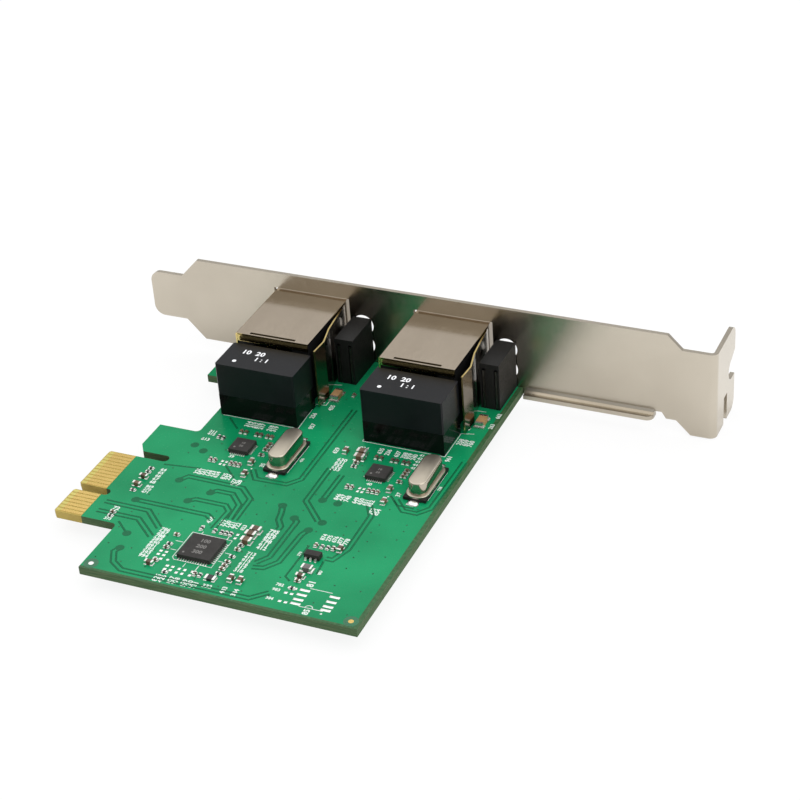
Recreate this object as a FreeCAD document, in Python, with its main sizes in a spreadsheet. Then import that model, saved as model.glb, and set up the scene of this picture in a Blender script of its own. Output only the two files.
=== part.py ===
import FreeCAD, Part
import os
import Sketcher

# Dual-port network card that lies on its solder side.
# +X runs along the mounting bracket, from its foot to its screw tab.
# +Y runs across the board, from its front edge out through the bracket.
# +Z points out of the component side.
# The origin is the middle of the key notch, at the tip of the edge connector, on the component side.

document = FreeCAD.newDocument("NetworkCard")
sheet = document.addObject("Spreadsheet::Sheet", "Sizes")
subParts = []


# ---------------------------------------------------------------- sizes and expressions

class Size:
    # A length that knows its value and the expression that binds it to the sheet.
    def __init__(self, value, text):
        self.value = value
        self.text = text

    def __add__(self, other):
        other = asSize(other)
        return Size(self.value + other.value, "(" + self.text + " + " + other.text + ")")

    def __sub__(self, other):
        other = asSize(other)
        return Size(self.value - other.value, "(" + self.text + " - " + other.text + ")")

    def __mul__(self, factor):
        factor = asSize(factor)
        return Size(self.value * factor.value, self.text + " * (" + factor.text + ")")

    def __truediv__(self, factor):
        factor = asSize(factor)
        return Size(self.value / factor.value, self.text + " / (" + factor.text + ")")

    def __neg__(self):
        return Size(-self.value, "(0 - " + self.text + ")")

    __radd__ = __add__
    __rmul__ = __mul__

    def __rsub__(self, other):
        return asSize(other) - self


def asSize(value):
    if isinstance(value, Size):
        return value
    return Size(float(value), "(" + repr(float(value)) + ")")


def addSizes(values):
    firstRow = len(sizes) + 1
    for row, (name, value) in enumerate(values.items(), firstRow):
        cell = "B" + str(row)
        sheet.set("A" + str(row), name)
        sheet.set(cell, repr(value))
        sheet.setAlias(cell, name)
        sizes[name] = Size(value, sheet.Name + "." + name)


sizes = {}

dimensions = {
    # board
    "boardThickness": 1.6,
    "boardWidth": 53.6,
    "boardReach": 78.7,
    "boardCornerRadius": 1.0,
    "keyToBracket": 57.15,
    "tongueDepth": 13.6,
    "boardGap": 0.15,
    "keyWidth": 1.9,
    "keyDepth": 7.4,
    "pinPitch": 1.0,
    "pinFromKey": 1.5,
    "pinMargin": 0.65,
    "tipCorner": 0.7,
    "tipBevel": 0.4,
    "hookLeft": 5.1,
    "hookHeight": 9.2,
    "hookSlotWidth": 1.9,
    "hookSlotEnd": 12.6,
    "earLeft": 5.35,
    "earHeight": 14.9,
    "plating": 0.05,
    "padWidth": 0.7,
    "padStart": 0.55,
    "padEnd": 6.1,
    # bracket
    "sheetThickness": 0.86,
    "bracketLength": 120.02,
    "bracketFoot": 14.3,
    "bracketTop": 16.87,
    "bracketBottom": 1.56,
    "footLength": 7.4,
    "footWidth": 10.16,
    "footRadius": 2.2,
    "shoulder": 3.9,
    "tabShoulder": 2.85,
    "tabNeck": 19.0,
    "neckOffset": 1.8,
    "tabDepth": 12.75,
    "bendRadius": 0.5,
    "tabRadius": 2.2,
    "screwSlotWidth": 4.4,
    "screwSlotDepth": 4.2,
    "screwSlotHeight": 5.2,
    "screwSlotFlare": 1.1,
    "reliefWidth": 2.1,
    "reliefDepth": 5.9,
    "reliefPlace": 5.6,
    "flangeDepth": 1.8,
    "flangeGap": 0.6,
    "flangeEndGap": 2.0,
    "flangeNotch": 2.2,
    "flangeNotchHeight": 1.3,
    "flangeNotchSlope": 0.8,
    "flangeRadius": 1.4,
    "flangeBend": 0.8,
    "mountTabWidth": 7.0,
    "mountTabDepth": 7.2,
    "leftTabPlace": 10.4,
    "middleTabPlace": 40.9,
    "screwPlace": 3.9,
    # bracket screws
    "screwRadius": 1.45,
    "screwLength": 4.4,
    "screwHeadRadius": 2.8,
    "screwHeadHeight": 1.7,
    "screwRecess": 0.7,
    "screwCross": 2.6,
    "screwCrossWidth": 0.7,
    "screwClearance": 0.1,
    # ports
    "portPitch": 30.4,
    "firstPort": 22.55,
    "jackWidth": 15.6,
    "jackHeight": 13.25,
    "jackRear": 17.85,
    "jackNose": 1.6,
    "shieldSheet": 0.3,
    "openingGap": 0.35,
    "openingSideGap": 0.55,
    "jackFloor": 0.3,
    "plugWidth": 11.9,
    "plugHeight": 6.9,
    "plugFloor": 3.3,
    "plugDepth": 14.2,
    "latchWidth": 6.1,
    "latchDrop": 1.6,
    "keyStepWidth": 3.4,
    "keyStepDrop": 0.7,
    "wallFlare": 2.2,
    "wallFlareMiddle": 1.1,
    "wallDrop": 0.5,
    "wallSeam": 1.0,
    "wallWaist": 10.45,
    "wallBend": 2.8,
    "wallTuck": 0.2,
    "wallTail": 1.2,
    "rearWindowWidth": 9.7,
    "rearWindowDepth": 0.6,
    "rearStrip": 0.35,
    "shieldLegWidth": 1.2,
    "shieldLegPlace": 6.4,
    "contactPitch": 1.016,
    "contactSize": 0.35,
    "contactRun": 11.35,
    "contactNose": 4.2,
    "contactBack": 10.4,
    "contactDrop": 3.4,
    "contactRow": 2.54,
    "contactTail": 1.2,
    "contactFold": 3.0,
    "combWall": 0.25,
    "combDepth": 4.0,
    "bayGap": 0.25,
    "rowGap": 0.3,
    # indicator lights beside each jack
    "lightAside": 3.3,
    "lightWidth": 3.9,
    "lightDepth": 9.05,
    "lightHeight": 10.0,
    "lightLow": 3.7,
    "lightPitch": 4.5,
    "lightHoleRadius": 2.2,
    "lightRadius": 1.45,
    "lightLength": 4.6,
    "lightNose": 0.25,
    "lightCrown": 0.8,
    "lightTip": 0.75,
    "lightSocketGap": 0.1,
    "lightGap": 0.25,
    "leadSize": 0.45,
    "leadPitch": 2.54,
    "leadChannel": 0.75,
    "leadRow": 2.0,
    # transformers
    "transformerInset": 0.05,
    "transformerWidth": 16.6,
    "transformerDepth": 8.2,
    "transformerHeight": 11.6,
    "transformerSplit": 4.7,
    "transformerGap": 18.85,
    "coverLip": 0.08,
    "transformerRadius": 0.25,
    "footHeight": 0.3,
    "footSize": 0.9,
    "transformerPinPitch": 1.27,
    "transformerPinRow": 5.6,
    "pinSize": 0.45,
    "pinTail": 1.1,
    "holeGap": 0.15,
    # crystals
    "crystalLength": 11.0,
    "crystalWidth": 4.5,
    "crystalBaseHeight": 0.7,
    "crystalFlange": 0.4,
    "crystalRim": 0.45,
    "crystalHeight": 3.6,
    "crystalRadius": 0.6,
    "crystalY": 20.5,
    "crystalPadLength": 2.4,
    "crystalPadWidth": 2.1,
    "crystalPadHeight": 0.15,
    "crystalPadReach": 1.5,
    "crystalPlace": 9.5,
    # packages without leads
    "chipStandoff": 0.05,
    "chipHeight": 0.85,
    "landHeight": 0.2,
    "landReach": 0.3,
    "lanChipWidth": 4.0,
    "lanChipY": 20.8,
    "firstLanShift": 1.75,
    "secondLanShift": -0.4,
    "lanLandPitch": 0.4,
    "lanLandWidth": 0.2,
    "switchWidth": 6.5,
    "switchX": 32.2,
    "switchFromFront": 11.15,
    "switchLandPitch": 0.5,
    "switchLandWidth": 0.25,
    # regulator
    "regulatorX": 51.85,
    "regulatorFromFront": 15.6,
    "regulatorLength": 2.9,
    "regulatorWidth": 1.6,
    "regulatorHeight": 1.1,
    "regulatorLift": 0.1,
    "regulatorLeadWidth": 0.4,
    "regulatorLeadPitch": 0.95,
    "regulatorSpan": 2.8,
    "regulatorLeadSheet": 0.15,
    "regulatorTaper": 0.1,
    # inductor beside the regulator
    "inductorX": 52.45,
    "inductorFromFront": 11.9,
    "inductorLength": 2.0,
    "inductorWidth": 1.25,
    "inductorHeight": 1.0,
    "inductorEnd": 0.35,
    # high-voltage capacitors beside each jack
    "isolatorAside": 0.2,
    "isolatorY": 42.6,
    "isolatorLength": 3.2,
    "isolatorWidth": 1.6,
    "isolatorHeight": 1.1,
    "isolatorEnd": 0.5,
    # small chip parts, placed on a grid around the part that they serve
    "placementGrid": 1.0,
    "smallLength": 1.0,
    "smallWidth": 0.5,
    "smallEnd": 0.25,
    "smallCapacitor": 0.5,
    "smallResistor": 0.35,
    "mediumLength": 1.6,
    "mediumWidth": 0.8,
    "mediumEnd": 0.35,
    "mediumCapacitor": 0.8,
    "largeLength": 2.0,
    "largeWidth": 1.25,
    "largeEnd": 0.45,
    "largeCapacitor": 1.0,
    "largeResistor": 0.5,
    # how far a cutting shape reaches past the face that it opens
    "overcut": 1.0,
}
addSizes(dimensions)

# how far the middle of a quarter round lies from its corner, as a share of its radius
quarterRound = 0.293

# contacts, pins and lands are counted, not measured
farPins = 11
nearPins = 7
contactCount = 8
pinsPerRow = 12
lanLandsPerSide = 8
switchLandsPerSide = 12


def size(name):
    return sizes[name]


# ---------------------------------------------------------------- building helpers

PLANES = {"XY": "XY_Plane", "XZ": "XZ_Plane", "YZ": "YZ_Plane"}


def bind(target, bindings):
    for name, value in bindings.items():
        value = asSize(value)
        target.setExpression(name, value.text)


def makeBody(label):
    body = document.addObject("PartDesign::Body", "Body")
    body.Label = label
    return body


def sketchOn(body, plane, offset):
    sketch = body.newObject("Sketcher::SketchObject", "Sketch")
    role = PLANES[plane]
    origin = [item for item in body.Origin.OriginFeatures if item.Role == role][0]
    sketch.AttachmentSupport = (origin, [""])
    sketch.MapMode = "FlatFace"
    direction = -1 if plane == "XZ" else 1
    bind(sketch, {"AttachmentOffset.Base.z": asSize(offset) * direction})
    return sketch


def fixPoint(sketch, geometry, end, x, y):
    for kind, value in (("DistanceX", x), ("DistanceY", y)):
        index = sketch.addConstraint(Sketcher.Constraint(kind, -1, 1, geometry, end, asSize(value).value))
        bind(sketch, {"Constraints[" + str(index) + "]": value})


def drawLoop(sketch, points):
    corners = [(asSize(x), asSize(y)) for x, y in points]
    spots = [FreeCAD.Vector(x.value, y.value, 0) for x, y in corners]
    first = sketch.GeometryCount
    count = len(spots)
    for index in range(count):
        sketch.addGeometry(Part.LineSegment(spots[index], spots[(index + 1) % count]), False)
    for index in range(count):
        following = (index + 1) % count
        sketch.addConstraint(Sketcher.Constraint("Coincident", first + index, 2, first + following, 1))
    for index, (x, y) in enumerate(corners):
        fixPoint(sketch, first + index, 1, x, y)


def drawCircle(sketch, x, y, radius):
    x, y, radius = asSize(x), asSize(y), asSize(radius)
    centre = FreeCAD.Vector(x.value, y.value, 0)
    circle = sketch.addGeometry(Part.Circle(centre, FreeCAD.Vector(0, 0, 1), radius.value), False)
    fixPoint(sketch, circle, 3, x, y)
    index = sketch.addConstraint(Sketcher.Constraint("Radius", circle, radius.value))
    bind(sketch, {"Constraints[" + str(index) + "]": radius})


def rectangle(x, y, width, height):
    # Corners of a rectangle that starts at x, y.
    return [(x, y), (x + width, y), (x + width, y + height), (x, y + height)]


def centred(x, y, width, height):
    width, height = asSize(width), asSize(height)
    return rectangle(asSize(x) - width / 2, asSize(y) - height / 2, width, height)


def extrude(body, plane, start, length, loops, circles=(), kind="PartDesign::Pad"):
    # Adds or removes material from start along the positive axis across the plane.
    sketch = sketchOn(body, plane, start)
    for loop in loops:
        drawLoop(sketch, loop)
    for circle in circles:
        drawCircle(sketch, *circle)
    feature = body.newObject(kind, "Extrusion")
    feature.Profile = sketch
    feature.Reversed = (plane == "XZ") == (kind == "PartDesign::Pad")
    bind(feature, {"Length": length})
    sketch.Visibility = False
    body.Tip = feature
    return feature


def cutAway(body, plane, start, length, loops, circles=()):
    document.recompute()
    before = body.Shape.Volume
    feature = extrude(body, plane, start, length, loops, circles, "PartDesign::Pocket")
    document.recompute()
    if not body.Shape.Volume < before:
        raise ValueError("a pocket in " + body.Label + " removed nothing")
    return feature


def edgesAlong(shape, axis, spots, tolerance=0.02):
    # Names of the straight edges along an axis that pass through the given spots.
    others = [index for index in range(3) if index != axis]
    found = []
    for number, edge in enumerate(shape.Edges, 1):
        ends = [vertex.Point for vertex in edge.Vertexes]
        if len(ends) != 2 or any(abs(ends[0][i] - ends[1][i]) > tolerance for i in others):
            continue
        for spot in spots:
            gaps = [abs(ends[0][i] - asSize(spot[n]).value) for n, i in enumerate(others)]
            if max(gaps) < tolerance:
                found.append("Edge" + str(number))
                break
    return found


def levelEdges(shape, level, tolerance=0.02):
    # Names of the edges that lie flat at one height.
    height = asSize(level).value
    return ["Edge" + str(number) for number, edge in enumerate(shape.Edges, 1)
            if all(abs(vertex.Z - height) < tolerance for vertex in edge.Vertexes)]


def roundNamed(body, names, radius, kind):
    base = body.Tip
    feature = body.newObject(kind, "Rounding")
    feature.Base = (base, names)
    bind(feature, {"Size" if kind.endswith("Chamfer") else "Radius": radius})
    body.Tip = feature
    return feature


def roundEdges(body, axis, spots, radius, kind="PartDesign::Fillet"):
    document.recompute()
    names = edgesAlong(body.Tip.Shape, axis, spots)
    if len(names) < len(spots):
        raise ValueError("an edge to round was not found on " + body.Label)
    return roundNamed(body, names, radius, kind)


def block(x, y, z, length, width, height):
    # A box from a corner.
    box = document.addObject("Part::Box", "Block")
    bind(box, {"Length": length, "Width": width, "Height": height})
    bind(box, {"Placement.Base.x": x, "Placement.Base.y": y, "Placement.Base.z": z})
    return box


def centredBlock(x, y, z, length, width, height):
    length, width = asSize(length), asSize(width)
    return block(asSize(x) - length / 2, asSize(y) - width / 2, z, length, width, height)


def cylinder(x, y, z, radius, height, axis=None):
    rod = document.addObject("Part::Cylinder", "Rod")
    bind(rod, {"Radius": radius, "Height": height})
    if axis == "Y":
        rod.Placement.Rotation = FreeCAD.Rotation(FreeCAD.Vector(1, 0, 0), -90)
    bind(rod, {"Placement.Base.x": x, "Placement.Base.y": y, "Placement.Base.z": z})
    return rod


def fuse(pieces):
    joined = document.addObject("Part::MultiFuse", "Fusion")
    joined.Shapes = pieces
    joined.Refine = True
    return joined


def cut(base, pieces):
    tool = document.addObject("Part::Compound", "Tools")
    tool.Links = pieces
    result = document.addObject("Part::Cut", "Cut")
    result.Base = base
    result.Tool = tool
    result.Refine = True
    return result


def group(pieces):
    # Separate like solids that share one sub-part.
    compound = document.addObject("Part::Compound", "Group")
    compound.Links = pieces
    return compound


def keep(feature, label):
    feature.Label = label
    subParts.append(feature)
    return feature


# ---------------------------------------------------------------- lines that several pieces share

boardLeft = size("tongueDepth")
boardRight = boardLeft + size("boardWidth")
boardFront = size("keyToBracket") - size("boardReach")
boardRear = size("keyToBracket") - size("boardGap")
boardUnder = -size("boardThickness")
switchY = boardFront + size("switchFromFront")
regulatorY = boardFront + size("regulatorFromFront")
inductorY = boardFront + size("inductorFromFront")
bracketInner = size("keyToBracket")
bracketOuter = bracketInner + size("sheetThickness")
portCentres = [size("firstPort"), size("firstPort") + size("portPitch")]
jackBack = bracketInner - size("jackRear")
jackFront = bracketOuter + size("jackNose")
jackDepth = jackFront - jackBack
screwX = [size("leftTabPlace"), size("middleTabPlace")]
screwY = bracketInner - size("screwPlace")
farEnd = size("pinFromKey") + size("pinPitch") * (farPins - 1) + size("pinMargin")
nearEnd = -(size("pinFromKey") + size("pinPitch") * (nearPins - 1) + size("pinMargin"))
contactRowNear = jackBack + size("contactTail")
contactXs = [size("contactPitch") * (index - (contactCount - 1) / 2) for index in range(contactCount)]
overcut = size("overcut")
lightPlace = size("jackWidth") / 2 + size("lightAside")
lightBack = bracketInner - size("lightGap") - size("lightDepth")
leadSides = [-size("leadPitch") / 2, size("leadPitch") / 2]
transformerFront = bracketInner - size("transformerGap") - size("transformerDepth")
transformerMiddle = transformerFront + size("transformerDepth") / 2
lanChipX = [portCentres[0] + size("firstLanShift"), portCentres[1] + size("secondLanShift")]


def transformerCentre(port):
    return port - size("jackWidth") / 2 + size("transformerInset") + size("transformerWidth") / 2


def transformerPins(port):
    centre = transformerCentre(port)
    spots = []
    for side in (-0.5, 0.5):
        y = transformerMiddle + size("transformerPinRow") * side
        for index in range(pinsPerRow):
            shift = size("transformerPinPitch") * (index - (pinsPerRow - 1) / 2)
            spots.append((centre + shift, y))
    return spots


def contactTails(port):
    rows = [contactRowNear, contactRowNear + size("contactRow")]
    return [(port + x, rows[index % 2]) for index, x in enumerate(contactXs)]


def lightLeads(port):
    centre = port + lightPlace
    rows = [lightBack + size("leadChannel") / 2, lightBack + size("leadChannel") / 2 + size("leadRow")]
    return [(centre + side, row) for row in rows for side in leadSides]


def shieldLegs(port):
    # The right leg stands under the flared wall.
    y = bracketInner - size("shieldLegPlace")
    reach = size("jackWidth") / 2 - size("shieldSheet") / 2
    share = (size("shieldLegPlace") - size("wallSeam")) / (size("wallWaist") - size("wallSeam"))
    return [(port - reach, y), (port + reach + size("wallFlareMiddle") * share, y)]


# ---------------------------------------------------------------- board and edge contacts

def makeBoard():
    body = makeBody("board_blank")
    halfKey = size("keyWidth") / 2
    hookBottom = farEnd + size("hookSlotWidth")
    hookTop = hookBottom + size("hookHeight")
    earBottom = bracketInner - size("earHeight")
    corner = size("tipCorner")
    outline = [
        (boardLeft, boardFront), (boardRight, boardFront), (boardRight, boardRear),
        (size("earLeft"), boardRear), (size("earLeft"), earBottom), (boardLeft, earBottom),
        (boardLeft, hookTop), (size("hookLeft"), hookTop),
        (size("hookLeft"), hookBottom + corner * 3), (size("hookLeft") + corner * 2, hookBottom),
        (size("hookSlotEnd"), hookBottom), (size("hookSlotEnd"), farEnd),
        (corner, farEnd), (0, farEnd - corner), (0, halfKey + corner), (corner, halfKey),
        (size("keyDepth"), halfKey), (size("keyDepth"), -halfKey),
        (corner, -halfKey), (0, -halfKey - corner), (0, nearEnd + corner), (corner, nearEnd),
        (boardLeft, nearEnd),
    ]
    extrude(body, "XY", boardUnder, size("boardThickness"), [outline])
    inside = [(boardLeft, earBottom), (boardLeft, hookTop), (boardLeft, nearEnd)]
    roundEdges(body, 2, inside, size("boardCornerRadius"))
    slotEnds = [(size("hookSlotEnd"), hookBottom), (size("hookSlotEnd"), farEnd)]
    roundEdges(body, 2, slotEnds, size("hookSlotWidth") * 0.49)
    keyEnds = [(size("keyDepth"), halfKey), (size("keyDepth"), -halfKey)]
    roundEdges(body, 2, keyEnds, size("keyWidth") * 0.49)
    tips = [(0, 0), (0, boardUnder)]
    roundEdges(body, 1, tips, size("tipBevel"), "PartDesign::Chamfer")

    holes = []
    below = boardUnder - overcut
    through = size("boardThickness") + overcut * 2
    for port in portCentres:
        drilled = [(transformerPins(port), size("pinSize")), (contactTails(port), size("contactSize"))]
        drilled += [(lightLeads(port), size("leadSize"))]
        for spots, width in drilled:
            width = width + size("holeGap") * 2
            holes += [centredBlock(x, y, below, width, width, through) for x, y in spots]
        for x, y in shieldLegs(port):
            width = size("shieldSheet") + size("holeGap") * 2
            length = size("shieldLegWidth") + size("holeGap") * 2
            holes.append(centredBlock(x, y, below, width, length, through))
    for x in screwX:
        holes.append(cylinder(x, screwY, below, size("screwRadius") + size("screwClearance"), through))
    keep(cut(body, holes), "circuit_board")


def makeEdgeContacts():
    pads = []
    length = size("padEnd") - size("padStart")
    faces = [asSize(0), boardUnder - size("plating")]
    places = [size("pinFromKey") + size("pinPitch") * index for index in range(farPins)]
    places += [-(size("pinFromKey") + size("pinPitch") * index) for index in range(nearPins)]
    for z in faces:
        for place in places:
            y = place - size("padWidth") / 2
            pads.append(block(size("padStart"), y, z, length, size("padWidth"), size("plating")))
    keep(group(pads), "edge_contacts")


# ---------------------------------------------------------------- bracket and its screws

def makeBracket():
    body = makeBody("bracket")
    foot = -size("bracketFoot")
    tabFace = foot + size("bracketLength")
    top = size("bracketTop")
    bottom = -size("bracketBottom")
    middle = (top + bottom) / 2
    footTop = middle + size("footWidth") / 2
    footBottom = middle - size("footWidth") / 2
    footEnd = foot + size("footLength")
    step = size("shoulder")
    neck = tabFace - size("tabNeck") / 2
    drop = size("tabShoulder")
    neckTop = top - drop
    neckBottom = bottom - drop
    neckLow = neck + size("neckOffset")
    flangeStart = boardRight + size("flangeGap")
    notchEnd = neckLow - size("flangeEndGap")
    flangeEnd = notchEnd - size("flangeNotch")
    notchTop = bottom + size("flangeNotchHeight")
    outline = [
        (foot, footBottom), (footEnd, footBottom), (footEnd + step, bottom),
        (flangeEnd, bottom), (flangeEnd, notchTop), (notchEnd - size("flangeNotchSlope"), notchTop), (notchEnd, bottom),
        (neckLow, bottom), (neckLow + drop, neckBottom), (tabFace, neckBottom),
        (tabFace, neckTop), (neck + drop, neckTop), (neck, top), (footEnd + step, top),
        (footEnd, footTop), (foot, footTop),
    ]
    sheetSize = size("sheetThickness")
    extrude(body, "XZ", bracketInner, sheetSize, [outline])

    # The screw tab turns outwards at the far end.
    tabEnd = bracketInner + size("tabDepth")
    tab = rectangle(bracketInner, neckBottom, size("tabDepth"), neckTop - neckBottom)
    extrude(body, "YZ", tabFace - sheetSize, sheetSize, [tab])

    # The stiffening flange turns inwards beside the board.
    flangeBack = bracketInner - size("flangeDepth")
    flangeTop = bottom + sheetSize
    bend = size("flangeBend")
    flange = [
        (flangeBack, bottom), (bracketOuter, bottom), (bracketOuter, flangeTop + bend),
        (bracketInner, flangeTop + bend), (bracketInner - bend * quarterRound, flangeTop + bend * quarterRound),
        (bracketInner - bend, flangeTop), (flangeBack, flangeTop),
    ]
    extrude(body, "YZ", flangeStart, flangeEnd - flangeStart, [flange])

    # Two tapped tabs reach under the board.
    tabTop = boardUnder
    tabReach = bracketInner - size("mountTabDepth")
    hook = [
        (bracketOuter, boardUnder + sheetSize), (bracketInner, boardUnder + sheetSize), (bracketInner, tabTop),
        (tabReach, tabTop), (tabReach, tabTop - sheetSize), (bracketOuter, tabTop - sheetSize),
    ]
    for x in screwX:
        extrude(body, "YZ", x - size("mountTabWidth") / 2, size("mountTabWidth"), [hook])

    # Windows for the jacks and holes for the lights.
    windows = []
    lights = []
    for port in portCentres:
        left = port - size("jackWidth") / 2 - size("openingGap")
        right = port + size("jackWidth") / 2 + size("openingSideGap")
        windows.append(rectangle(left, -size("openingGap"), right - left,
                                 size("jackHeight") + size("openingGap") * 2))
        for level in (0, 1):
            height = size("lightLow") + size("lightPitch") * level
            lights.append((port + lightPlace, height, size("lightHoleRadius")))
    cutAway(body, "XZ", bracketInner - overcut, sheetSize + overcut * 2, windows, lights)

    holes = [(x, screwY, size("screwRadius")) for x in screwX]
    cutAway(body, "XY", tabTop - sheetSize - overcut, sheetSize + overcut * 2, [], holes)

    # The open screw slot of the tab, flared at its mouth, and the relief slot below it.
    half = size("screwSlotWidth") / 2
    level = size("screwSlotHeight")
    inner = tabEnd - size("screwSlotDepth") + half
    flare = size("screwSlotFlare")
    mouth = [
        (inner, level - half), (tabEnd + overcut, level - half), (tabEnd + overcut, level + half + flare),
        (tabEnd, level + half + flare), (tabEnd - flare * 2, level + half), (inner, level + half),
    ]
    across = tabFace - sheetSize - overcut
    cutAway(body, "YZ", across, sheetSize + overcut * 2, [mouth])
    cutAway(body, "YZ", across, sheetSize + overcut * 2, [], [(inner, level, half)])
    relief = rectangle(bracketInner + size("reliefPlace"), neckBottom - overcut,
                       size("reliefWidth"), size("reliefDepth") + overcut)
    cutAway(body, "YZ", across, sheetSize + overcut * 2, [relief])

    roundEdges(body, 2, [(tabFace, bracketInner)], size("bendRadius") + sheetSize)
    roundEdges(body, 2, [(tabFace - sheetSize, bracketOuter)], size("bendRadius"))
    footCorners = [(foot, footBottom), (foot, footTop)]
    roundEdges(body, 1, footCorners, size("footRadius"))
    tabCorners = [(tabEnd, neckBottom), (tabEnd, neckTop)]
    roundEdges(body, 0, tabCorners, size("tabRadius"))
    flangeCorner = [(flangeEnd, flangeBack)]
    roundEdges(body, 2, flangeCorner, size("flangeRadius"))
    keep(body, "bracket")


def makeBracketScrews():
    screws = []
    recess = size("screwRecess")
    for x in screwX:
        shank = cylinder(x, screwY, -size("screwLength"), size("screwRadius"), size("screwLength"))
        head = cylinder(x, screwY, 0, size("screwHeadRadius"), size("screwHeadHeight"))
        top = size("screwHeadHeight") - recess
        arms = [centredBlock(x, screwY, top, size("screwCross"), size("screwCrossWidth"), recess + overcut)]
        arms.append(centredBlock(x, screwY, top, size("screwCrossWidth"), size("screwCross"), recess + overcut))
        screws.append(cut(fuse([shank, head]), arms))
    keep(group(screws), "bracket_screws")


# ---------------------------------------------------------------- jacks

def makeShield(port, number):
    body = makeBody("jack_shield_" + number)
    sheetSize = size("shieldSheet")
    half = size("jackWidth") / 2
    top = size("jackHeight")
    floor = size("jackFloor")
    left = port - half
    right = port + half
    # Roof and left wall are one fold.
    fold = [
        (left, floor), (left + sheetSize, floor), (left + sheetSize, top - sheetSize),
        (right, top - sheetSize), (right, top), (left, top),
    ]
    extrude(body, "XZ", jackBack, jackDepth, [fold])
    # The right wall is a flap that springs outwards towards the back.
    wallTop = top - size("wallDrop")
    seam = bracketInner - size("wallSeam")
    flare = size("wallFlare")
    belly = size("wallFlareMiddle")
    bend = jackBack + size("wallBend")
    tail = jackBack - size("wallTail")
    tuck = right + flare - size("wallTuck")
    waist = bracketInner - size("wallWaist")
    flap = [
        (right - sheetSize, jackFront), (right, jackFront), (right, seam),
        (right + belly, waist), (right + flare, bend), (tuck, tail),
        (tuck - sheetSize, tail), (right + flare - sheetSize, bend),
        (right + belly - sheetSize, waist), (right - sheetSize, seam),
    ]
    extrude(body, "XY", floor, wallTop - floor, [flap])
    bridge = rectangle(right - sheetSize, wallTop, sheetSize, top - wallTop)
    extrude(body, "XZ", seam, jackFront - seam, [bridge])
    # Front frame around the plug opening.
    front = rectangle(left, floor, right - left, top - floor)
    extrude(body, "XZ", jackFront - sheetSize, sheetSize, [front])
    cutAway(body, "XZ", jackFront - overcut, overcut * 2, [plugOutline(port)])
    # Long window beside the back edge of the roof.
    window = centred(port, jackBack + size("rearStrip") + size("rearWindowDepth") / 2,
                     size("rearWindowWidth"), size("rearWindowDepth"))
    cutAway(body, "XY", top - overcut, overcut * 2, [window])
    # Two legs that are soldered into the board.
    for x, y in shieldLegs(port):
        leg = centred(x, y, sheetSize, size("shieldLegWidth"))
        legEnd = boardUnder - size("pinTail")
        extrude(body, "XY", legEnd, floor + sheetSize - legEnd, [leg])
    roundEdges(body, 1, [(left, top)], sheetSize)
    keep(body, "jack_shield_" + number)


def plugOutline(port):
    # Plug opening with the latch step and the narrow key step towards the board.
    half = size("plugWidth") / 2
    latch = size("latchWidth") / 2
    narrow = size("keyStepWidth") / 2
    floor = size("plugFloor")
    top = floor + size("plugHeight")
    low = floor - size("latchDrop")
    lowest = low - size("keyStepDrop")
    return [
        (port - half, floor), (port - latch, floor), (port - latch, low), (port - narrow, low),
        (port - narrow, lowest), (port + narrow, lowest), (port + narrow, low), (port + latch, low),
        (port + latch, floor), (port + half, floor), (port + half, top), (port - half, top),
    ]


def makeHousing(port, number):
    body = makeBody("jack_housing_" + number)
    sheetSize = size("shieldSheet")
    width = size("jackWidth") - sheetSize * 2
    front = jackFront - sheetSize
    back = jackBack + sheetSize
    roof = size("jackHeight") - sheetSize
    outer = centred(port, roof / 2, width, roof)
    extrude(body, "XZ", back, front - back, [outer])
    cutAway(body, "XZ", front - size("plugDepth"), size("plugDepth") + overcut, [plugOutline(port)])
    # Bay for the contact wires, open at the back, and the comb that parts them in the plug opening.
    bayWidth = size("contactPitch") * contactCount
    bayTop = size("contactRun") + size("contactSize") + size("bayGap")
    plugTop = size("plugFloor") + size("plugHeight")
    combFront = front - size("contactNose") + size("contactSize") + size("bayGap")
    combBack = combFront - size("combDepth")
    bayBack = back - overcut
    rowsEnd = contactRowNear + size("contactRow") + size("contactSize") + size("rowGap")
    rearBay = centred(port, bayTop / 2, bayWidth, bayTop)
    cutAway(body, "XZ", bayBack, rowsEnd - bayBack, [rearBay])
    bayFloor = plugTop - overcut / 2
    roofBay = rectangle(port - bayWidth / 2, bayFloor, bayWidth, bayTop - bayFloor)
    cutAway(body, "XZ", rowsEnd - overcut / 2, combBack - rowsEnd + overcut / 2, [roofBay])
    slotWidth = size("contactPitch") - size("combWall")
    slots = []
    for x in contactXs:
        slots.append(rectangle(port + x - slotWidth / 2, bayFloor, slotWidth, bayTop - bayFloor))
    cutAway(body, "XZ", combBack - overcut / 2, combFront - combBack + overcut / 2, slots)
    keep(body, "jack_housing_" + number)


def makeContacts(port, number):
    # Each wire rises from the board, runs forward under the roof and folds back into the opening.
    wire = size("contactSize")
    run = size("contactRun")
    nose = jackFront - size("shieldSheet") - size("contactNose")
    back = nose - size("contactBack") + size("contactFold")
    low = run - size("contactDrop")
    tail = boardUnder - size("pinTail")
    wires = []
    for index, (x, y) in enumerate(contactTails(port)):
        profile = [
            (y - wire / 2, tail), (y + wire / 2, tail), (y + wire / 2, run), (nose - wire * 2, run),
            (back, low + wire), (back, low), (nose, run - wire / 2), (nose, run + wire),
            (y - wire / 2, run + wire),
        ]
        body = makeBody("jack_contact")
        extrude(body, "YZ", x - wire / 2, wire, [profile])
        wires.append(body)
    keep(group(wires), "jack_contacts_" + number)


# ---------------------------------------------------------------- indicator lights

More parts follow.
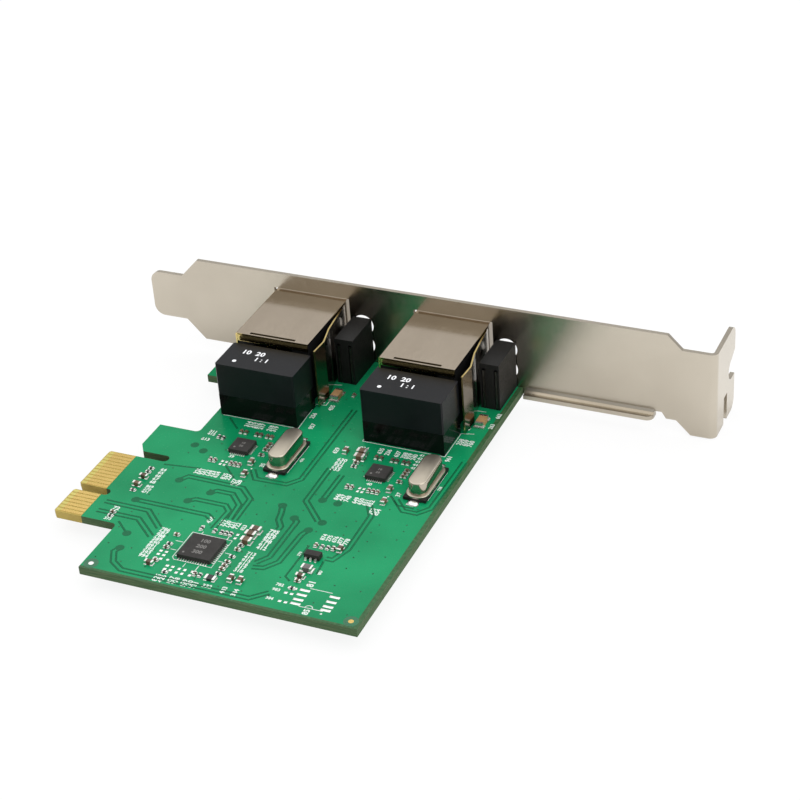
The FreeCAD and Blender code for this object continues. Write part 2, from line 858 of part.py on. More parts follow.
def makeLights(port, number):
    centre = port + lightPlace
    channel = size("leadChannel")
    lead = size("leadSize")
    height = size("lightHeight")
    front = bracketInner - size("lightGap")
    socket = size("lightRadius") + size("lightSocketGap")
    bodyBack = bracketOuter + size("lightNose") - size("lightLength")
    levels = [size("lightLow"), size("lightLow") + size("lightPitch")]
    rows = [lightBack + channel / 2 + size("leadRow"), lightBack + channel / 2]
    tail = boardUnder - size("pinTail")

    holder = makeBody("light_holder_" + number)
    extrude(holder, "XY", 0, height, [centred(centre, (lightBack + front) / 2, size("lightWidth"),
                                              size("lightDepth"))])
    # Square sockets for the lights, then slots and channels for their leads.
    sockets = [centred(centre, level, socket * 2, socket * 2) for level in levels]
    socketBack = bodyBack - size("lightSocketGap")
    cutAway(holder, "XZ", socketBack, front - socketBack + overcut, sockets)
    for level, row in zip(levels, rows):
        slots = [centred(centre + side, level, channel, channel) for side in leadSides]
        cutAway(holder, "XZ", row - channel / 2, bodyBack - row + channel, slots)
    channels = [rectangle(centre + side - channel / 2, lightBack - overcut, channel, channel + overcut)
                for side in leadSides]
    channelTop = levels[1] + channel
    cutAway(holder, "XY", -overcut, channelTop + overcut, channels)
    inner = [centred(centre + side, rows[0], channel, channel) for side in leadSides]
    cutAway(holder, "XY", -overcut, levels[0] + overcut, inner)
    keep(holder, "light_holder_" + number)

    for name, level in zip(("lower", "upper"), levels):
        rod = cylinder(centre, bodyBack, level, size("lightRadius"), size("lightLength") - size("lightCrown"), "Y")
        crown = document.addObject("Part::Cone", "Crown")
        crown.Placement.Rotation = FreeCAD.Rotation(FreeCAD.Vector(1, 0, 0), -90)
        bind(crown, {"Radius1": size("lightRadius"), "Radius2": size("lightTip"), "Height": size("lightCrown")})
        bind(crown, {"Placement.Base.x": centre, "Placement.Base.z": level})
        bind(crown, {"Placement.Base.y": bodyBack + size("lightLength") - size("lightCrown")})
        keep(fuse([rod, crown]), "light_" + name + "_" + number)

    leads = []
    for level, row in zip(levels, rows):
        profile = [
            (row - lead / 2, tail), (row + lead / 2, tail), (row + lead / 2, level - lead / 2),
            (bodyBack, level - lead / 2), (bodyBack, level + lead / 2), (row - lead / 2, level + lead / 2),
        ]
        for side in leadSides:
            body = makeBody("light_lead")
            extrude(body, "YZ", centre + side - lead / 2, lead, [profile])
            leads.append(body)
    keep(group(leads), "light_leads_" + number)


# ---------------------------------------------------------------- transformers

def makeTransformer(port, number):
    centre = transformerCentre(port)
    width = size("transformerWidth")
    depth = size("transformerDepth")
    lip = size("coverLip")
    split = size("transformerSplit")
    base = makeBody("transformer_base_" + number)
    outline = centred(centre, transformerMiddle, width - lip * 2, depth - lip * 2)
    extrude(base, "XY", size("footHeight"), split - size("footHeight"), [outline])
    # Four standing feet at the corners.
    foot = size("footSize")
    reachX = width / 2 - lip - foot / 2
    reachY = depth / 2 - lip - foot / 2
    feet = [centred(centre + reachX * a, transformerMiddle + reachY * b, foot, foot)
            for a in (-1, 1) for b in (-1, 1)]
    extrude(base, "XY", 0, size("footHeight"), feet)
    keep(base, "transformer_base_" + number)

    cover = makeBody("transformer_cover_" + number)
    outline = centred(centre, transformerMiddle, width, depth)
    extrude(cover, "XY", split, size("transformerHeight") - split, [outline])
    corners = [(centre + width / 2 * a, transformerMiddle + depth / 2 * b) for a in (-1, 1) for b in (-1, 1)]
    roundEdges(cover, 2, corners, size("transformerRadius"), "PartDesign::Chamfer")
    keep(cover, "transformer_cover_" + number)

    pin = size("pinSize")
    tail = boardUnder - size("pinTail")
    pins = [centredBlock(x, y, tail, pin, pin, size("footHeight") - tail) for x, y in transformerPins(port)]
    keep(group(pins), "transformer_pins_" + number)


# ---------------------------------------------------------------- crystals

def padStadium(body, x, y, z, length, width, height):
    # Upright block with round ends, long along Y.
    straight = length - width
    extrude(body, "XY", z, height, [centred(x, y, width, straight)])
    for side in (-0.5, 0.5):
        extrude(body, "XY", z, height, [], [(x, y + straight * side, width / 2)])


def makeCrystal(x, number):
    y = size("crystalY")
    length = size("crystalLength")
    width = size("crystalWidth")
    base = size("crystalBaseHeight")
    rim = size("crystalRim")
    lift = size("crystalPadHeight")
    keep(centredBlock(x, y, lift, width, length, base - lift), "crystal_base_" + number)
    can = makeBody("crystal_can_" + number)
    padStadium(can, x, y, base, length, width, size("crystalFlange"))
    padStadium(can, x, y, base, length - rim * 2, width - rim * 2, size("crystalHeight") - base)
    document.recompute()
    crown = levelEdges(can.Tip.Shape, size("crystalHeight"))
    roundNamed(can, crown, size("crystalRadius"), "PartDesign::Chamfer")
    keep(can, "crystal_can_" + number)
    reach = length / 2 - size("crystalPadLength") / 2 + size("crystalPadReach")
    pads = [centredBlock(x, y + reach * side, 0, size("crystalPadWidth"), size("crystalPadLength"), lift)
            for side in (-1, 1)]
    keep(group(pads), "crystal_leads_" + number)


# ---------------------------------------------------------------- flat packages

def makeFlatPackage(label, x, y, width, pitch, landWidth, perSide):
    lift = size("chipStandoff")
    keep(centredBlock(x, y, lift, width, width, size("chipHeight")), label)
    lands = []
    reach = size("landReach")
    side = width / 2
    for index in range(perSide):
        shift = pitch * (index - (perSide - 1) / 2)
        for sign in (-1, 1):
            outX = x + (side + reach / 2) * sign
            outY = y + (side + reach / 2) * sign
            lands.append(centredBlock(x + shift, outY, 0, landWidth, reach, size("landHeight")))
            lands.append(centredBlock(outX, y + shift, 0, reach, landWidth, size("landHeight")))
    keep(group(lands), label + "_lands")


def makeRegulator():
    x = size("regulatorX")
    y = regulatorY
    lift = size("regulatorLift")
    width = size("regulatorWidth")
    height = size("regulatorHeight")
    length = size("regulatorLength")
    body = makeBody("regulator")
    half = width / 2
    waist = lift + (height - lift) / 2
    taper = size("regulatorTaper")
    profile = [
        (y - half + taper, lift), (y + half - taper, lift), (y + half, waist), (y + half - taper, height),
        (y - half + taper, height), (y - half, waist),
    ]
    extrude(body, "YZ", x - length / 2, length, [profile])
    keep(body, "regulator")
    leads = []
    sheetSize = size("regulatorLeadSheet")
    out = size("regulatorSpan") / 2
    knee = half + (out - half) / 2
    for sign, places in ((-1, (-1, 0, 1)), (1, (-1, 1))):
        profile = [
            (y + half * sign, waist), (y + knee * sign, waist), (y + (knee + sheetSize) * sign, sheetSize),
            (y + out * sign, sheetSize), (y + out * sign, asSize(0)), (y + knee * sign, asSize(0)),
            (y + (knee - sheetSize) * sign, waist - sheetSize), (y + half * sign, waist - sheetSize),
        ]
        for place in places:
            lead = makeBody("regulator_lead")
            start = x + size("regulatorLeadPitch") * place - size("regulatorLeadWidth") / 2
            extrude(lead, "YZ", start, size("regulatorLeadWidth"), [profile])
            leads.append(lead)
    keep(group(leads), "regulator_leads")


# ---------------------------------------------------------------- two-ended chip parts

# Each row: part, case, long side, then the middles of its chips from the row's own origin, in grid steps.
lanChipRows = [
    ("capacitor", "small", "Y", [(-2.7, 4.85), (-1.7, 4.85), (0.55, 4.85), (1.45, 4.85), (2.85, 4.85), (3.75, 4.85)]),
    ("capacitor", "small", "Y", [(-3.97, -5.5), (-3.07, -5.5), (0.33, -5.5), (1.23, -5.5), (2.08, -5.5)]),
    ("capacitor", "small", "X", [(4.57, 2.6), (4.57, 1.65), (4.57, 0.65), (4.57, -1.15)]),
    ("capacitor", "medium", "Y", [(3.87, -4.0), (4.4, -7.9)]),
]
firstPortRows = [
    ("resistor", "small", "Y", [(-6.1, 2.0), (-5.1, 1.8)]),
    ("capacitor", "small", "Y", [(12.6, 23.2)]),
]
secondPortRows = [
    ("capacitor", "medium", "Y", [(-9.0, 4.9)]),
    ("capacitor", "large", "X", [(-5.75, 5.3), (-5.55, 3.6)]),
    ("capacitor", "small", "X", [(-5.6, 2.1)]),
    ("resistor", "small", "X", [(-5.5, 0.9)]),
]
switchRows = [
    ("capacitor", "small", "X", [(-6.4, 2.6), (-6.4, -1.3), (-6.4, -5.2)]),
    ("resistor", "small", "X", [(-6.4, -0.1)]),
    ("capacitor", "medium", "X", [(-7.0, -6.4)]),
    ("resistor", "small", "Y", [(-3.1, 5.8), (-0.5, 5.8), (0.9, 5.8), (1.8, 5.8), (2.7, 5.8)]),
    ("capacitor", "large", "X", [(6.7, 8.0), (6.4, 6.5), (6.5, 4.6)]),
    ("resistor", "small", "X", [(6.0, 3.4), (6.0, 0.0), (6.0, -5.1)]),
    ("capacitor", "small", "X", [(6.0, 2.1), (6.0, -1.7), (6.0, -2.8), (6.0, -3.8)]),
    ("resistor", "large", "X", [(5.3, -6.8)]),
    ("resistor", "small", "X", [(-3.2, -7.7)]),
    ("capacitor", "small", "Y", [(2.1, -6.6)]),
    ("resistor", "small", "Y", [(3.1, -6.6)]),
    ("capacitor", "medium", "Y", [(8.8, -5.9), (10.6, -5.9)]),
]
regulatorRows = [
    ("capacitor", "small", "Y", [(-1.0, 3.15), (2.35, 3.2)]),
    ("resistor", "small", "Y", [(0.15, 3.15), (1.25, 3.15)]),
    ("capacitor", "medium", "Y", [(3.6, 3.4)]),
    ("capacitor", "medium", "X", [(0.3, -5.85)]),
    ("capacitor", "small", "X", [(0.35, -7.05)]),
    ("resistor", "small", "X", [(0.35, -9.15)]),
]
tongueRows = [
    ("resistor", "small", "X", [(11.0, 9.3), (11.0, 8.1), (11.2, 2.0)]),
    ("capacitor", "medium", "X", [(11.1, 6.3), (11.1, 3.7)]),
    ("capacitor", "small", "X", [(11.2, -5.3)]),
    ("resistor", "small", "X", [(11.3, -6.4)]),
]


def endedChip(x, y, along, length, width, height, end):
    # A ceramic body between two tinned ends, long along X or Y.
    inner = length - end * 2
    reach = (length - end) / 2
    if along == "X":
        body = centredBlock(x, y, 0, inner, width, height)
        ends = [centredBlock(asSize(x) + reach * side, y, 0, end, width, height) for side in (-1, 1)]
    else:
        body = centredBlock(x, y, 0, width, inner, height)
        ends = [centredBlock(x, asSize(y) + reach * side, 0, width, end, height) for side in (-1, 1)]
    return body, ends


def makeChipParts():
    bodies = {"capacitor": [], "resistor": []}
    ends = {"capacitor": [], "resistor": []}
    chipY = size("lanChipY")
    grid = size("placementGrid")
    layout = [
        (lanChipX[0], chipY, lanChipRows + firstPortRows),
        (lanChipX[1], chipY, lanChipRows + secondPortRows),
        (size("switchX"), switchY, switchRows),
        (size("regulatorX"), regulatorY, regulatorRows),
        (asSize(0), asSize(0), tongueRows),
    ]
    for originX, originY, rows in layout:
        for part, case, along, places in rows:
            height = size(case + part.capitalize())
            for x, y in places:
                body, pair = endedChip(originX + grid * x, originY + grid * y, along, size(case + "Length"),
                                       size(case + "Width"), height, size(case + "End"))
                bodies[part].append(body)
                ends[part] += pair
    keep(group(bodies["capacitor"]), "ceramic_capacitors")
    keep(group(ends["capacitor"]), "capacitor_ends")
    keep(group(bodies["resistor"]), "chip_resistors")
    keep(group(ends["resistor"]), "resistor_ends")


def makeIsolationCapacitors():
    bodies = []
    ends = []
    for port in portCentres:
        body, pair = endedChip(port + lightPlace + size("isolatorAside"), size("isolatorY"), "Y",
                               size("isolatorLength"), size("isolatorWidth"),
                               size("isolatorHeight"), size("isolatorEnd"))
        bodies.append(body)
        ends += pair
    keep(group(bodies), "isolation_capacitors")
    keep(group(ends), "isolation_capacitor_ends")


def makeInductor():
    body, pair = endedChip(size("inductorX"), inductorY, "X", size("inductorLength"),
                           size("inductorWidth"), size("inductorHeight"), size("inductorEnd"))
    keep(body, "inductor")
    keep(group(pair), "inductor_ends")


# ---------------------------------------------------------------- assembly

makeBoard()
makeEdgeContacts()
makeBracket()
makeBracketScrews()
for number, port in enumerate(portCentres, 1):
    makeShield(port, str(number))
    makeHousing(port, str(number))
    makeContacts(port, str(number))
    makeLights(port, str(number))
    makeTransformer(port, str(number))
for number, x in enumerate(lanChipX, 1):
    makeFlatPackage("lan_chip_" + str(number), x, size("lanChipY"), size("lanChipWidth"),
                    size("lanLandPitch"), size("lanLandWidth"), lanLandsPerSide)
    makeCrystal(x + size("crystalPlace"), str(number))
makeFlatPackage("switch_chip", size("switchX"), switchY, size("switchWidth"),
                size("switchLandPitch"), size("switchLandWidth"), switchLandsPerSide)
makeRegulator()
makeChipParts()
makeIsolationCapacitors()
makeInductor()

document.recompute()

# ---------------------------------------------------------------- checks and export

for item in document.Objects:
    if "Invalid" in item.State or "Error" in item.State:
        raise ValueError("failed feature: " + item.Label)
for item in subParts:
    if item.Shape.isNull() or not item.Shape.isValid():
        raise ValueError("bad shape: " + item.Label)

os.makedirs("parts", exist_ok=True)
for item in subParts:
    item.Shape.exportStep("parts/" + item.Label + ".step")
    print(item.Label, len(item.Shape.Solids), round(item.Shape.Volume, 2))
print(len(subParts), "sub-parts")
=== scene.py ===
import math
import random

import bmesh
import bpy
from mathutils import Matrix, Vector


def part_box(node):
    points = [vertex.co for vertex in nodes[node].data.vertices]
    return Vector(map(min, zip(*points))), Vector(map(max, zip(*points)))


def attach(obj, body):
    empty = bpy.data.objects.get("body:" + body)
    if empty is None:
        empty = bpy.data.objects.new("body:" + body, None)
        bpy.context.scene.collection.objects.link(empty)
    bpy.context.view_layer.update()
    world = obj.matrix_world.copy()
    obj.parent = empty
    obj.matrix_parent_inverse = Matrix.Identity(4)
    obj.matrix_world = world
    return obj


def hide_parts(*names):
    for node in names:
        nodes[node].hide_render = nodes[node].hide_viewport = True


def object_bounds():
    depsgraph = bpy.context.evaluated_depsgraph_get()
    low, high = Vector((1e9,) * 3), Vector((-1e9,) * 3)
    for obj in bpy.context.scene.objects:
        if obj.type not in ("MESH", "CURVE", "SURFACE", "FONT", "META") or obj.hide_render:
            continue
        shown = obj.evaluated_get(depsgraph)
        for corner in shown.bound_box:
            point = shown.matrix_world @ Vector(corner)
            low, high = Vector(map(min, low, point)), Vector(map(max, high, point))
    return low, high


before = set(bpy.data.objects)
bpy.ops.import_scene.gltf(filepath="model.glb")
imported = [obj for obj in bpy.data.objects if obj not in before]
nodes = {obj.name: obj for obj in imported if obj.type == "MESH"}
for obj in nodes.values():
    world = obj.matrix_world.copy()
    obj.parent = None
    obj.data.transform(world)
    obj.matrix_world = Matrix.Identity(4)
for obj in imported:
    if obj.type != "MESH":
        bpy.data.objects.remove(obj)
cadLow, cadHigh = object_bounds()
boardLow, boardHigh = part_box("circuit_board")
boardTop, boardBottom = boardHigh.z, boardLow.z
mm = 0.001


# node materials

noiseSpan = (0.3, 0.7)  # nearly all values of a noise lie here
wholeSpan = (0.0, 1.0)


def newMaterial(name):
    material = bpy.data.materials.new(name)
    material.use_nodes = True
    return material, material.node_tree, material.node_tree.nodes["Principled BSDF"]


def setShader(shader, values):
    for key, value in values.items():
        shader.inputs[key].default_value = value


def addNode(tree, kind, **settings):
    # a setting that starts with in_ is one of the node's inputs
    node = tree.nodes.new(kind)
    for key, value in settings.items():
        if key.startswith("in_"):
            node.inputs[key[3:].replace("_", " ")].default_value = value
        else:
            setattr(node, key, value)
    return node


def splitCoords(tree, output):
    coords = addNode(tree, "ShaderNodeTexCoord")
    split = addNode(tree, "ShaderNodeSeparateXYZ")
    tree.links.new(coords.outputs[output], split.inputs["Vector"])
    return split.outputs


def noise(tree, scale, detail=3.0, rough=0.5, stretch=(1, 1, 1)):
    coords = addNode(tree, "ShaderNodeTexCoord")
    mapping = addNode(tree, "ShaderNodeMapping", in_Scale=stretch)
    node = addNode(tree, "ShaderNodeTexNoise", in_Scale=scale, in_Detail=detail, in_Roughness=rough)
    tree.links.new(coords.outputs["Object"], mapping.inputs["Vector"])
    tree.links.new(mapping.outputs["Vector"], node.inputs["Vector"])
    return node.outputs["Fac"]


def twoTone(tree, factor, tones, span=noiseSpan):
    # runs from the first tone to the second over the factor's span
    node = addNode(tree, "ShaderNodeValToRGB")
    for element, place, tone in zip(node.color_ramp.elements, span, tones):
        element.position = place
        element.color = (*tone, 1.0)
    tree.links.new(factor, node.inputs["Fac"])
    return node.outputs["Color"]


def spread(tree, factor, goal, span=noiseSpan):
    # brings the factor's span to the goal's two values
    node = addNode(tree, "ShaderNodeMapRange", in_From_Min=span[0], in_From_Max=span[1],
                   in_To_Min=goal[0], in_To_Max=goal[1])
    tree.links.new(factor, node.inputs["Value"])
    return node.outputs["Result"]


def addBump(tree, shader, height, strength, distance):
    node = addNode(tree, "ShaderNodeBump", in_Strength=strength, in_Distance=distance)
    tree.links.new(height, node.inputs["Height"])
    tree.links.new(node.outputs["Normal"], shader.inputs["Normal"])


def mathNode(tree, operation, first, second=None):
    # the second value is a plain number, another node's output or left out
    node = addNode(tree, "ShaderNodeMath", operation=operation)
    tree.links.new(first, node.inputs[0])
    if isinstance(second, float):
        node.inputs[1].default_value = second
    elif second is not None:
        tree.links.new(second, node.inputs[1])
    return node.outputs[0]


def above(tree, value, edge):
    return mathNode(tree, "GREATER_THAN", value, edge)


def below(tree, value, edge):
    return mathNode(tree, "LESS_THAN", value, edge)


def blended(tree, share, first, second):
    node = addNode(tree, "ShaderNodeMix", data_type="RGBA")
    tree.links.new(share, node.inputs["Factor"])
    tree.links.new(first, node.inputs["A"])
    tree.links.new(second, node.inputs["B"])
    return node.outputs["Result"]


def grey(value):
    return (value, value, value)


finishes = {}
plainLook = {"toneDetail": 3.0, "toneRough": 0.55, "grainDetail": 4.0, "grainRough": 0.6,
             "bumpStrength": 0.3, "bumpHeight": 0.00002, "topFacing": 0.97, "shader": {}}


def makeFinish(name, ownLook):
    # colour from a soft noise between two tones, with its own roughness spread and fine bump
    look = {**plainLook, **ownLook}
    material, tree, shader = newMaterial(name)
    setShader(shader, look["shader"])
    tone = noise(tree, look["toneScale"], look["toneDetail"], look["toneRough"])
    colour = twoTone(tree, tone, look["tones"])
    grain = noise(tree, look["grainScale"], look["grainDetail"], look["grainRough"])
    roughness = spread(tree, grain, look["roughness"])
    if "flatTop" in look:  # the upward face is duller than the drawn sides
        top = above(tree, splitCoords(tree, "Normal")["Z"], look["topFacing"])
        roughness = mathNode(tree, "ADD", roughness, spread(tree, top, (0.0, look["flatTop"]), wholeSpan))
    if "bareEnd" in look:  # bare laminate at the bevelled end of the card
        end = below(tree, splitCoords(tree, "Object")["X"], look["bareEnd"])
        colour = blended(tree, end, colour, twoTone(tree, tone, look["bareTones"]))
        tree.links.new(spread(tree, end, (1.0, 0.0), wholeSpan), shader.inputs["Metallic"])
    tree.links.new(colour, shader.inputs["Base Color"])
    tree.links.new(roughness, shader.inputs["Roughness"])
    addBump(tree, shader, grain, look["bumpStrength"], look["bumpHeight"])
    finishes[name] = material


print("finishes")
makeFinish("bracketNickel", {
    "tones": ((0.465, 0.418, 0.345), (0.535, 0.485, 0.405)), "toneScale": 45.0, "toneDetail": 5.0,
    "grainScale": 900.0, "roughness": (0.22, 0.27), "bumpStrength": 0.03, "bumpHeight": 0.00001,
    "shader": {"Metallic": 1.0}})
makeFinish("canNickel", {
    "tones": ((0.41, 0.368, 0.298), (0.475, 0.43, 0.355)), "toneScale": 160.0,
    "grainScale": 3500.0, "roughness": (0.07, 0.12), "flatTop": 0.30,
    "bumpStrength": 0.03, "bumpHeight": 0.00001,
    "shader": {"Metallic": 1.0}})
makeFinish("screwNickel", {
    "tones": ((0.60, 0.58, 0.53), (0.68, 0.66, 0.61)), "toneScale": 300.0,
    "grainScale": 3500.0, "roughness": (0.2, 0.32), "shader": {"Metallic": 1.0}})
makeFinish("brightTin", {
    "tones": ((0.72, 0.71, 0.68), (0.84, 0.83, 0.80)), "toneScale": 700.0,
    "grainScale": 5000.0, "roughness": (0.22, 0.4),
    "shader": {"Metallic": 1.0}})
makeFinish("fingerGold", {
    "tones": ((0.54, 0.375, 0.113), (0.62, 0.44, 0.148)), "toneScale": 200.0, "bareEnd": 0.0016,
    "bareTones": ((0.44, 0.38, 0.075), (0.54, 0.47, 0.11)),
    "grainScale": 3800.0, "roughness": (0.22, 0.34), "bumpStrength": 0.12, "bumpHeight": 0.00001,
    "shader": {"Metallic": 1.0}})
makeFinish("housingBlack", {
    "tones": (grey(0.008), grey(0.013)), "toneScale": 120.0,
    "grainScale": 2400.0, "roughness": (0.42, 0.56), "bumpStrength": 0.25, "bumpHeight": 0.00003,
    "shader": {"Specular IOR Level": 0.22}})
makeFinish("coverBlack", {
    "tones": ((0.004, 0.0045, 0.006), (0.007, 0.0075, 0.0095)), "toneScale": 160.0,
    "grainScale": 3600.0, "roughness": (0.3, 0.42), "bumpStrength": 0.2,
    "shader": {"Specular IOR Level": 0.20}})
makeFinish("pottingBlack", {
    "tones": (grey(0.002), grey(0.004)), "toneScale": 90.0,
    "grainScale": 1800.0, "roughness": (0.14, 0.24), "bumpStrength": 0.10,
    "shader": {"Specular IOR Level": 0.16}})
makeFinish("epoxyBlack", {
    "tones": ((0.022, 0.020, 0.019), (0.034, 0.032, 0.030)), "toneScale": 500.0,
    "grainScale": 5200.0, "roughness": (0.5, 0.66), "bumpStrength": 0.35,
    "shader": {"Specular IOR Level": 0.25}})
makeFinish("capacitorBrown", {
    "tones": ((0.055, 0.032, 0.019), (0.17, 0.105, 0.06)), "toneScale": 260.0, "toneDetail": 1.0,
    "grainScale": 4200.0, "roughness": (0.4, 0.6)})
makeFinish("capacitorTan", {
    "tones": ((0.32, 0.18, 0.075), (0.44, 0.26, 0.12)), "toneScale": 400.0,
    "grainScale": 4200.0, "roughness": (0.4, 0.6)})
makeFinish("resistorBlack", {
    "tones": (grey(0.012), grey(0.02)), "toneScale": 500.0,
    "grainScale": 4200.0, "roughness": (0.25, 0.4)})
makeFinish("ferriteGrey", {
    "tones": ((0.10, 0.095, 0.092), (0.15, 0.14, 0.135)), "toneScale": 500.0,
    "grainScale": 4200.0, "roughness": (0.45, 0.6), "bumpHeight": 0.00003})
makeFinish("greenLens", {
    "tones": ((0.22, 0.62, 0.20), (0.28, 0.70, 0.26)), "toneScale": 400.0,
    "grainScale": 2500.0, "roughness": (0.08, 0.16), "bumpStrength": 0.05,
    "shader": {"Transmission Weight": 0.35, "IOR": 1.5}})
makeFinish("amberLens", {
    "tones": ((0.86, 0.58, 0.16), (0.90, 0.64, 0.22)), "toneScale": 400.0,
    "grainScale": 2500.0, "roughness": (0.08, 0.16), "bumpStrength": 0.05,
    "shader": {"Transmission Weight": 0.35, "IOR": 1.5}})
# dark metal as painted shade: the light leads in the holder's grooves and the crosses of the screw heads
makeFinish("darkMetalPaintedShade", {
    "tones": (grey(0.05), grey(0.10)), "toneScale": 700.0,
    "grainScale": 4000.0, "roughness": (0.35, 0.5),
    "shader": {"Metallic": 1.0}})
makeFinish("maskChannel", {
    "tones": ((0.002, 0.098, 0.038), (0.005, 0.130, 0.052)), "toneScale": 60.0,
    "grainScale": 1500.0, "roughness": (0.2, 0.3), "bumpStrength": 0.1,
    "shader": {"Specular IOR Level": 0.12}})
makeFinish("legendWhite", {
    "tones": ((0.60, 0.66, 0.62), (0.74, 0.79, 0.76)), "toneScale": 500.0,
    "grainScale": 3000.0, "roughness": (0.45, 0.6), "bumpStrength": 0.2})
makeFinish("coverPrint", {
    "tones": ((0.74, 0.75, 0.78), (0.86, 0.87, 0.89)), "toneScale": 500.0,
    "grainScale": 3000.0, "roughness": (0.45, 0.6), "bumpStrength": 0.2})
makeFinish("laserGrey", {
    "tones": ((0.13, 0.125, 0.12), (0.18, 0.175, 0.165)), "toneScale": 700.0,
    "grainScale": 3000.0, "roughness": (0.55, 0.7), "bumpStrength": 0.2})
makeFinish("viaGreen", {
    "tones": ((0.004, 0.100, 0.038), (0.008, 0.140, 0.055)), "toneScale": 300.0,
    "grainScale": 1500.0, "roughness": (0.25, 0.35), "bumpStrength": 0.1})
makeFinish("solder", {
    "tones": ((0.66, 0.66, 0.64), (0.82, 0.82, 0.80)), "toneScale": 900.0,
    "grainScale": 4200.0, "roughness": (0.18, 0.34), "bumpHeight": 0.00003,
    "shader": {"Metallic": 1.0}})


def makeBoardFinish():
    # green mask over copper, brownish along the rim that has no copper, a cut edge of many layers,
    # and bare laminate between and around the fingers
    look = {"copper": ((0.003, 0.205, 0.078), (0.007, 0.275, 0.107)),
            "rim": ((0.030, 0.090, 0.034), (0.055, 0.120, 0.052)),
            "laminate": ((0.38, 0.28, 0.075), (0.47, 0.36, 0.10)),
            "edge": ((0.040, 0.088, 0.036), (0.085, 0.125, 0.060)), "toneSpan": (0.35, 0.65),
            "cloud": {"scale": 55.0}, "weave": {"scale": 1500.0, "detail": 2.0, "stretch": (1, 1, 0.2)},
            "fibre": {"scale": 420.0, "stretch": (1, 4, 1)},
            "layers": {"scale": 1800.0, "detail": 2.0, "stretch": (0.15, 0.15, 4)},
            "frontRim": 0.00055, "rightRim": 0.0009, "fingerEnd": 0.0061, "hookFront": 0.0135,
            "flatFacing": 0.5, "gloss": (0.20, 0.28), "matte": 0.35, "specular": 0.12,
            "bumpStrength": 0.10, "bumpHeight": 0.00002}
    material, tree, shader = newMaterial("solderMask")
    place, facing = splitCoords(tree, "Object"), splitCoords(tree, "Normal")
    weave = noise(tree, **look["weave"])
    copper = twoTone(tree, noise(tree, **look["cloud"]), look["copper"], look["toneSpan"])
    rim = twoTone(tree, weave, look["rim"], look["toneSpan"])
    edge = twoTone(tree, noise(tree, **look["layers"]), look["edge"], look["toneSpan"])
    laminate = twoTone(tree, noise(tree, **look["fibre"]), look["laminate"])
    nearRim = mathNode(tree, "MAXIMUM", below(tree, place["Y"], boardLow.y + look["frontRim"]),
                       above(tree, place["X"], boardHigh.x - look["rightRim"]))
    bare = mathNode(tree, "MULTIPLY", below(tree, place["X"], look["fingerEnd"]),
                    below(tree, place["Y"], look["hookFront"]))
    upright = below(tree, mathNode(tree, "ABSOLUTE", facing["Z"]), look["flatFacing"])
    masked = blended(tree, upright, blended(tree, nearRim, copper, rim), edge)
    colour = blended(tree, bare, masked, laminate)
    tree.links.new(colour, shader.inputs["Base Color"])
    gloss = spread(tree, weave, look["gloss"])
    matte = spread(tree, mathNode(tree, "MAXIMUM", bare, upright), (0.0, look["matte"]), wholeSpan)
    tree.links.new(mathNode(tree, "ADD", gloss, matte), shader.inputs["Roughness"])
    addBump(tree, shader, weave, look["bumpStrength"], look["bumpHeight"])
    setShader(shader, {"Specular IOR Level": look["specular"]})
    finishes["solderMask"] = material


def makeShieldFinish():
    # tinned brass sheet: satin faces, side walls painted darker as painted shade, and bare brass on the cut
    # edges
    look = {"tin": ((0.53, 0.445, 0.345), (0.61, 0.52, 0.41)),
            "brass": ((0.72, 0.54, 0.20), (0.85, 0.67, 0.31)),
            # the side tones are painted shade: darker walls that stand in for shade and the dark reflection
            # of the black light holder
            "side": ((0.17, 0.14, 0.10), (0.23, 0.19, 0.14)),
            "cloud": {"scale": 90.0, "detail": 4.0, "rough": 0.55, "stretch": (1, 0.25, 1)},
            "grain": {"scale": 2400.0, "rough": 0.6, "stretch": (1, 0.25, 1)},
            "cutFacing": -0.85, "shadedSideFacing": 0.6, "topFacing": 0.7, "roof": 0.00004,
            "roughness": (0.13, 0.19), "bumpStrength": 0.05, "bumpHeight": 0.000005}
    material, tree, shader = newMaterial("shieldTinPaintedShade")
    setShader(shader, {"Metallic": 1.0})
    place, facing = splitCoords(tree, "Object"), splitCoords(tree, "Normal")
    cloud, grain = noise(tree, **look["cloud"]), noise(tree, **look["grain"])
    # painted shade on the walls that face sideways
    paintedShadeSides = above(tree, mathNode(tree, "ABSOLUTE", facing["X"]), look["shadedSideFacing"])
    sheet = blended(tree, paintedShadeSides, twoTone(tree, cloud, look["tin"]), twoTone(tree, cloud, look["side"]))
    belowRoof = below(tree, place["Z"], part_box("jack_shield_1")[1].z - look["roof"])
    rims = mathNode(tree, "MULTIPLY", above(tree, facing["Z"], look["topFacing"]), belowRoof)
    cut = mathNode(tree, "MAXIMUM", below(tree, facing["Y"], look["cutFacing"]), rims)
    colour = blended(tree, cut, sheet, twoTone(tree, grain, look["brass"]))
    tree.links.new(colour, shader.inputs["Base Color"])
    tree.links.new(spread(tree, grain, look["roughness"]), shader.inputs["Roughness"])
    addBump(tree, shader, grain, look["bumpStrength"], look["bumpHeight"])
    finishes["shieldTinPaintedShade"] = material


makeBoardFinish()
makeShieldFinish()

slotFinishes = {
    "solder_mask": "solderMask", "gold_plate": "fingerGold", "bracket_steel": "bracketNickel",
    "screw_steel": "screwNickel", "shield_metal": "shieldTinPaintedShade", "black_plastic": "housingBlack",
    "green_lens": "greenLens", "amber_lens": "amberLens", "transformer_black": "coverBlack",
    "transformer_resin": "pottingBlack", "can_metal": "canNickel", "chip_resin": "epoxyBlack",
    "capacitor_ceramic": "capacitorBrown", "tan_ceramic": "capacitorTan",
    "resistor_glaze": "resistorBlack", "ferrite": "ferriteGrey", "tin": "brightTin"}
# the light leads take the dark metal as painted shade in the holder's grooves
nodeFinishes = {"light_leads_1": "darkMetalPaintedShade", "light_leads_2": "darkMetalPaintedShade",
                "crystal_leads_1": "solder", "crystal_leads_2": "solder"}  # in place of their slot's finish


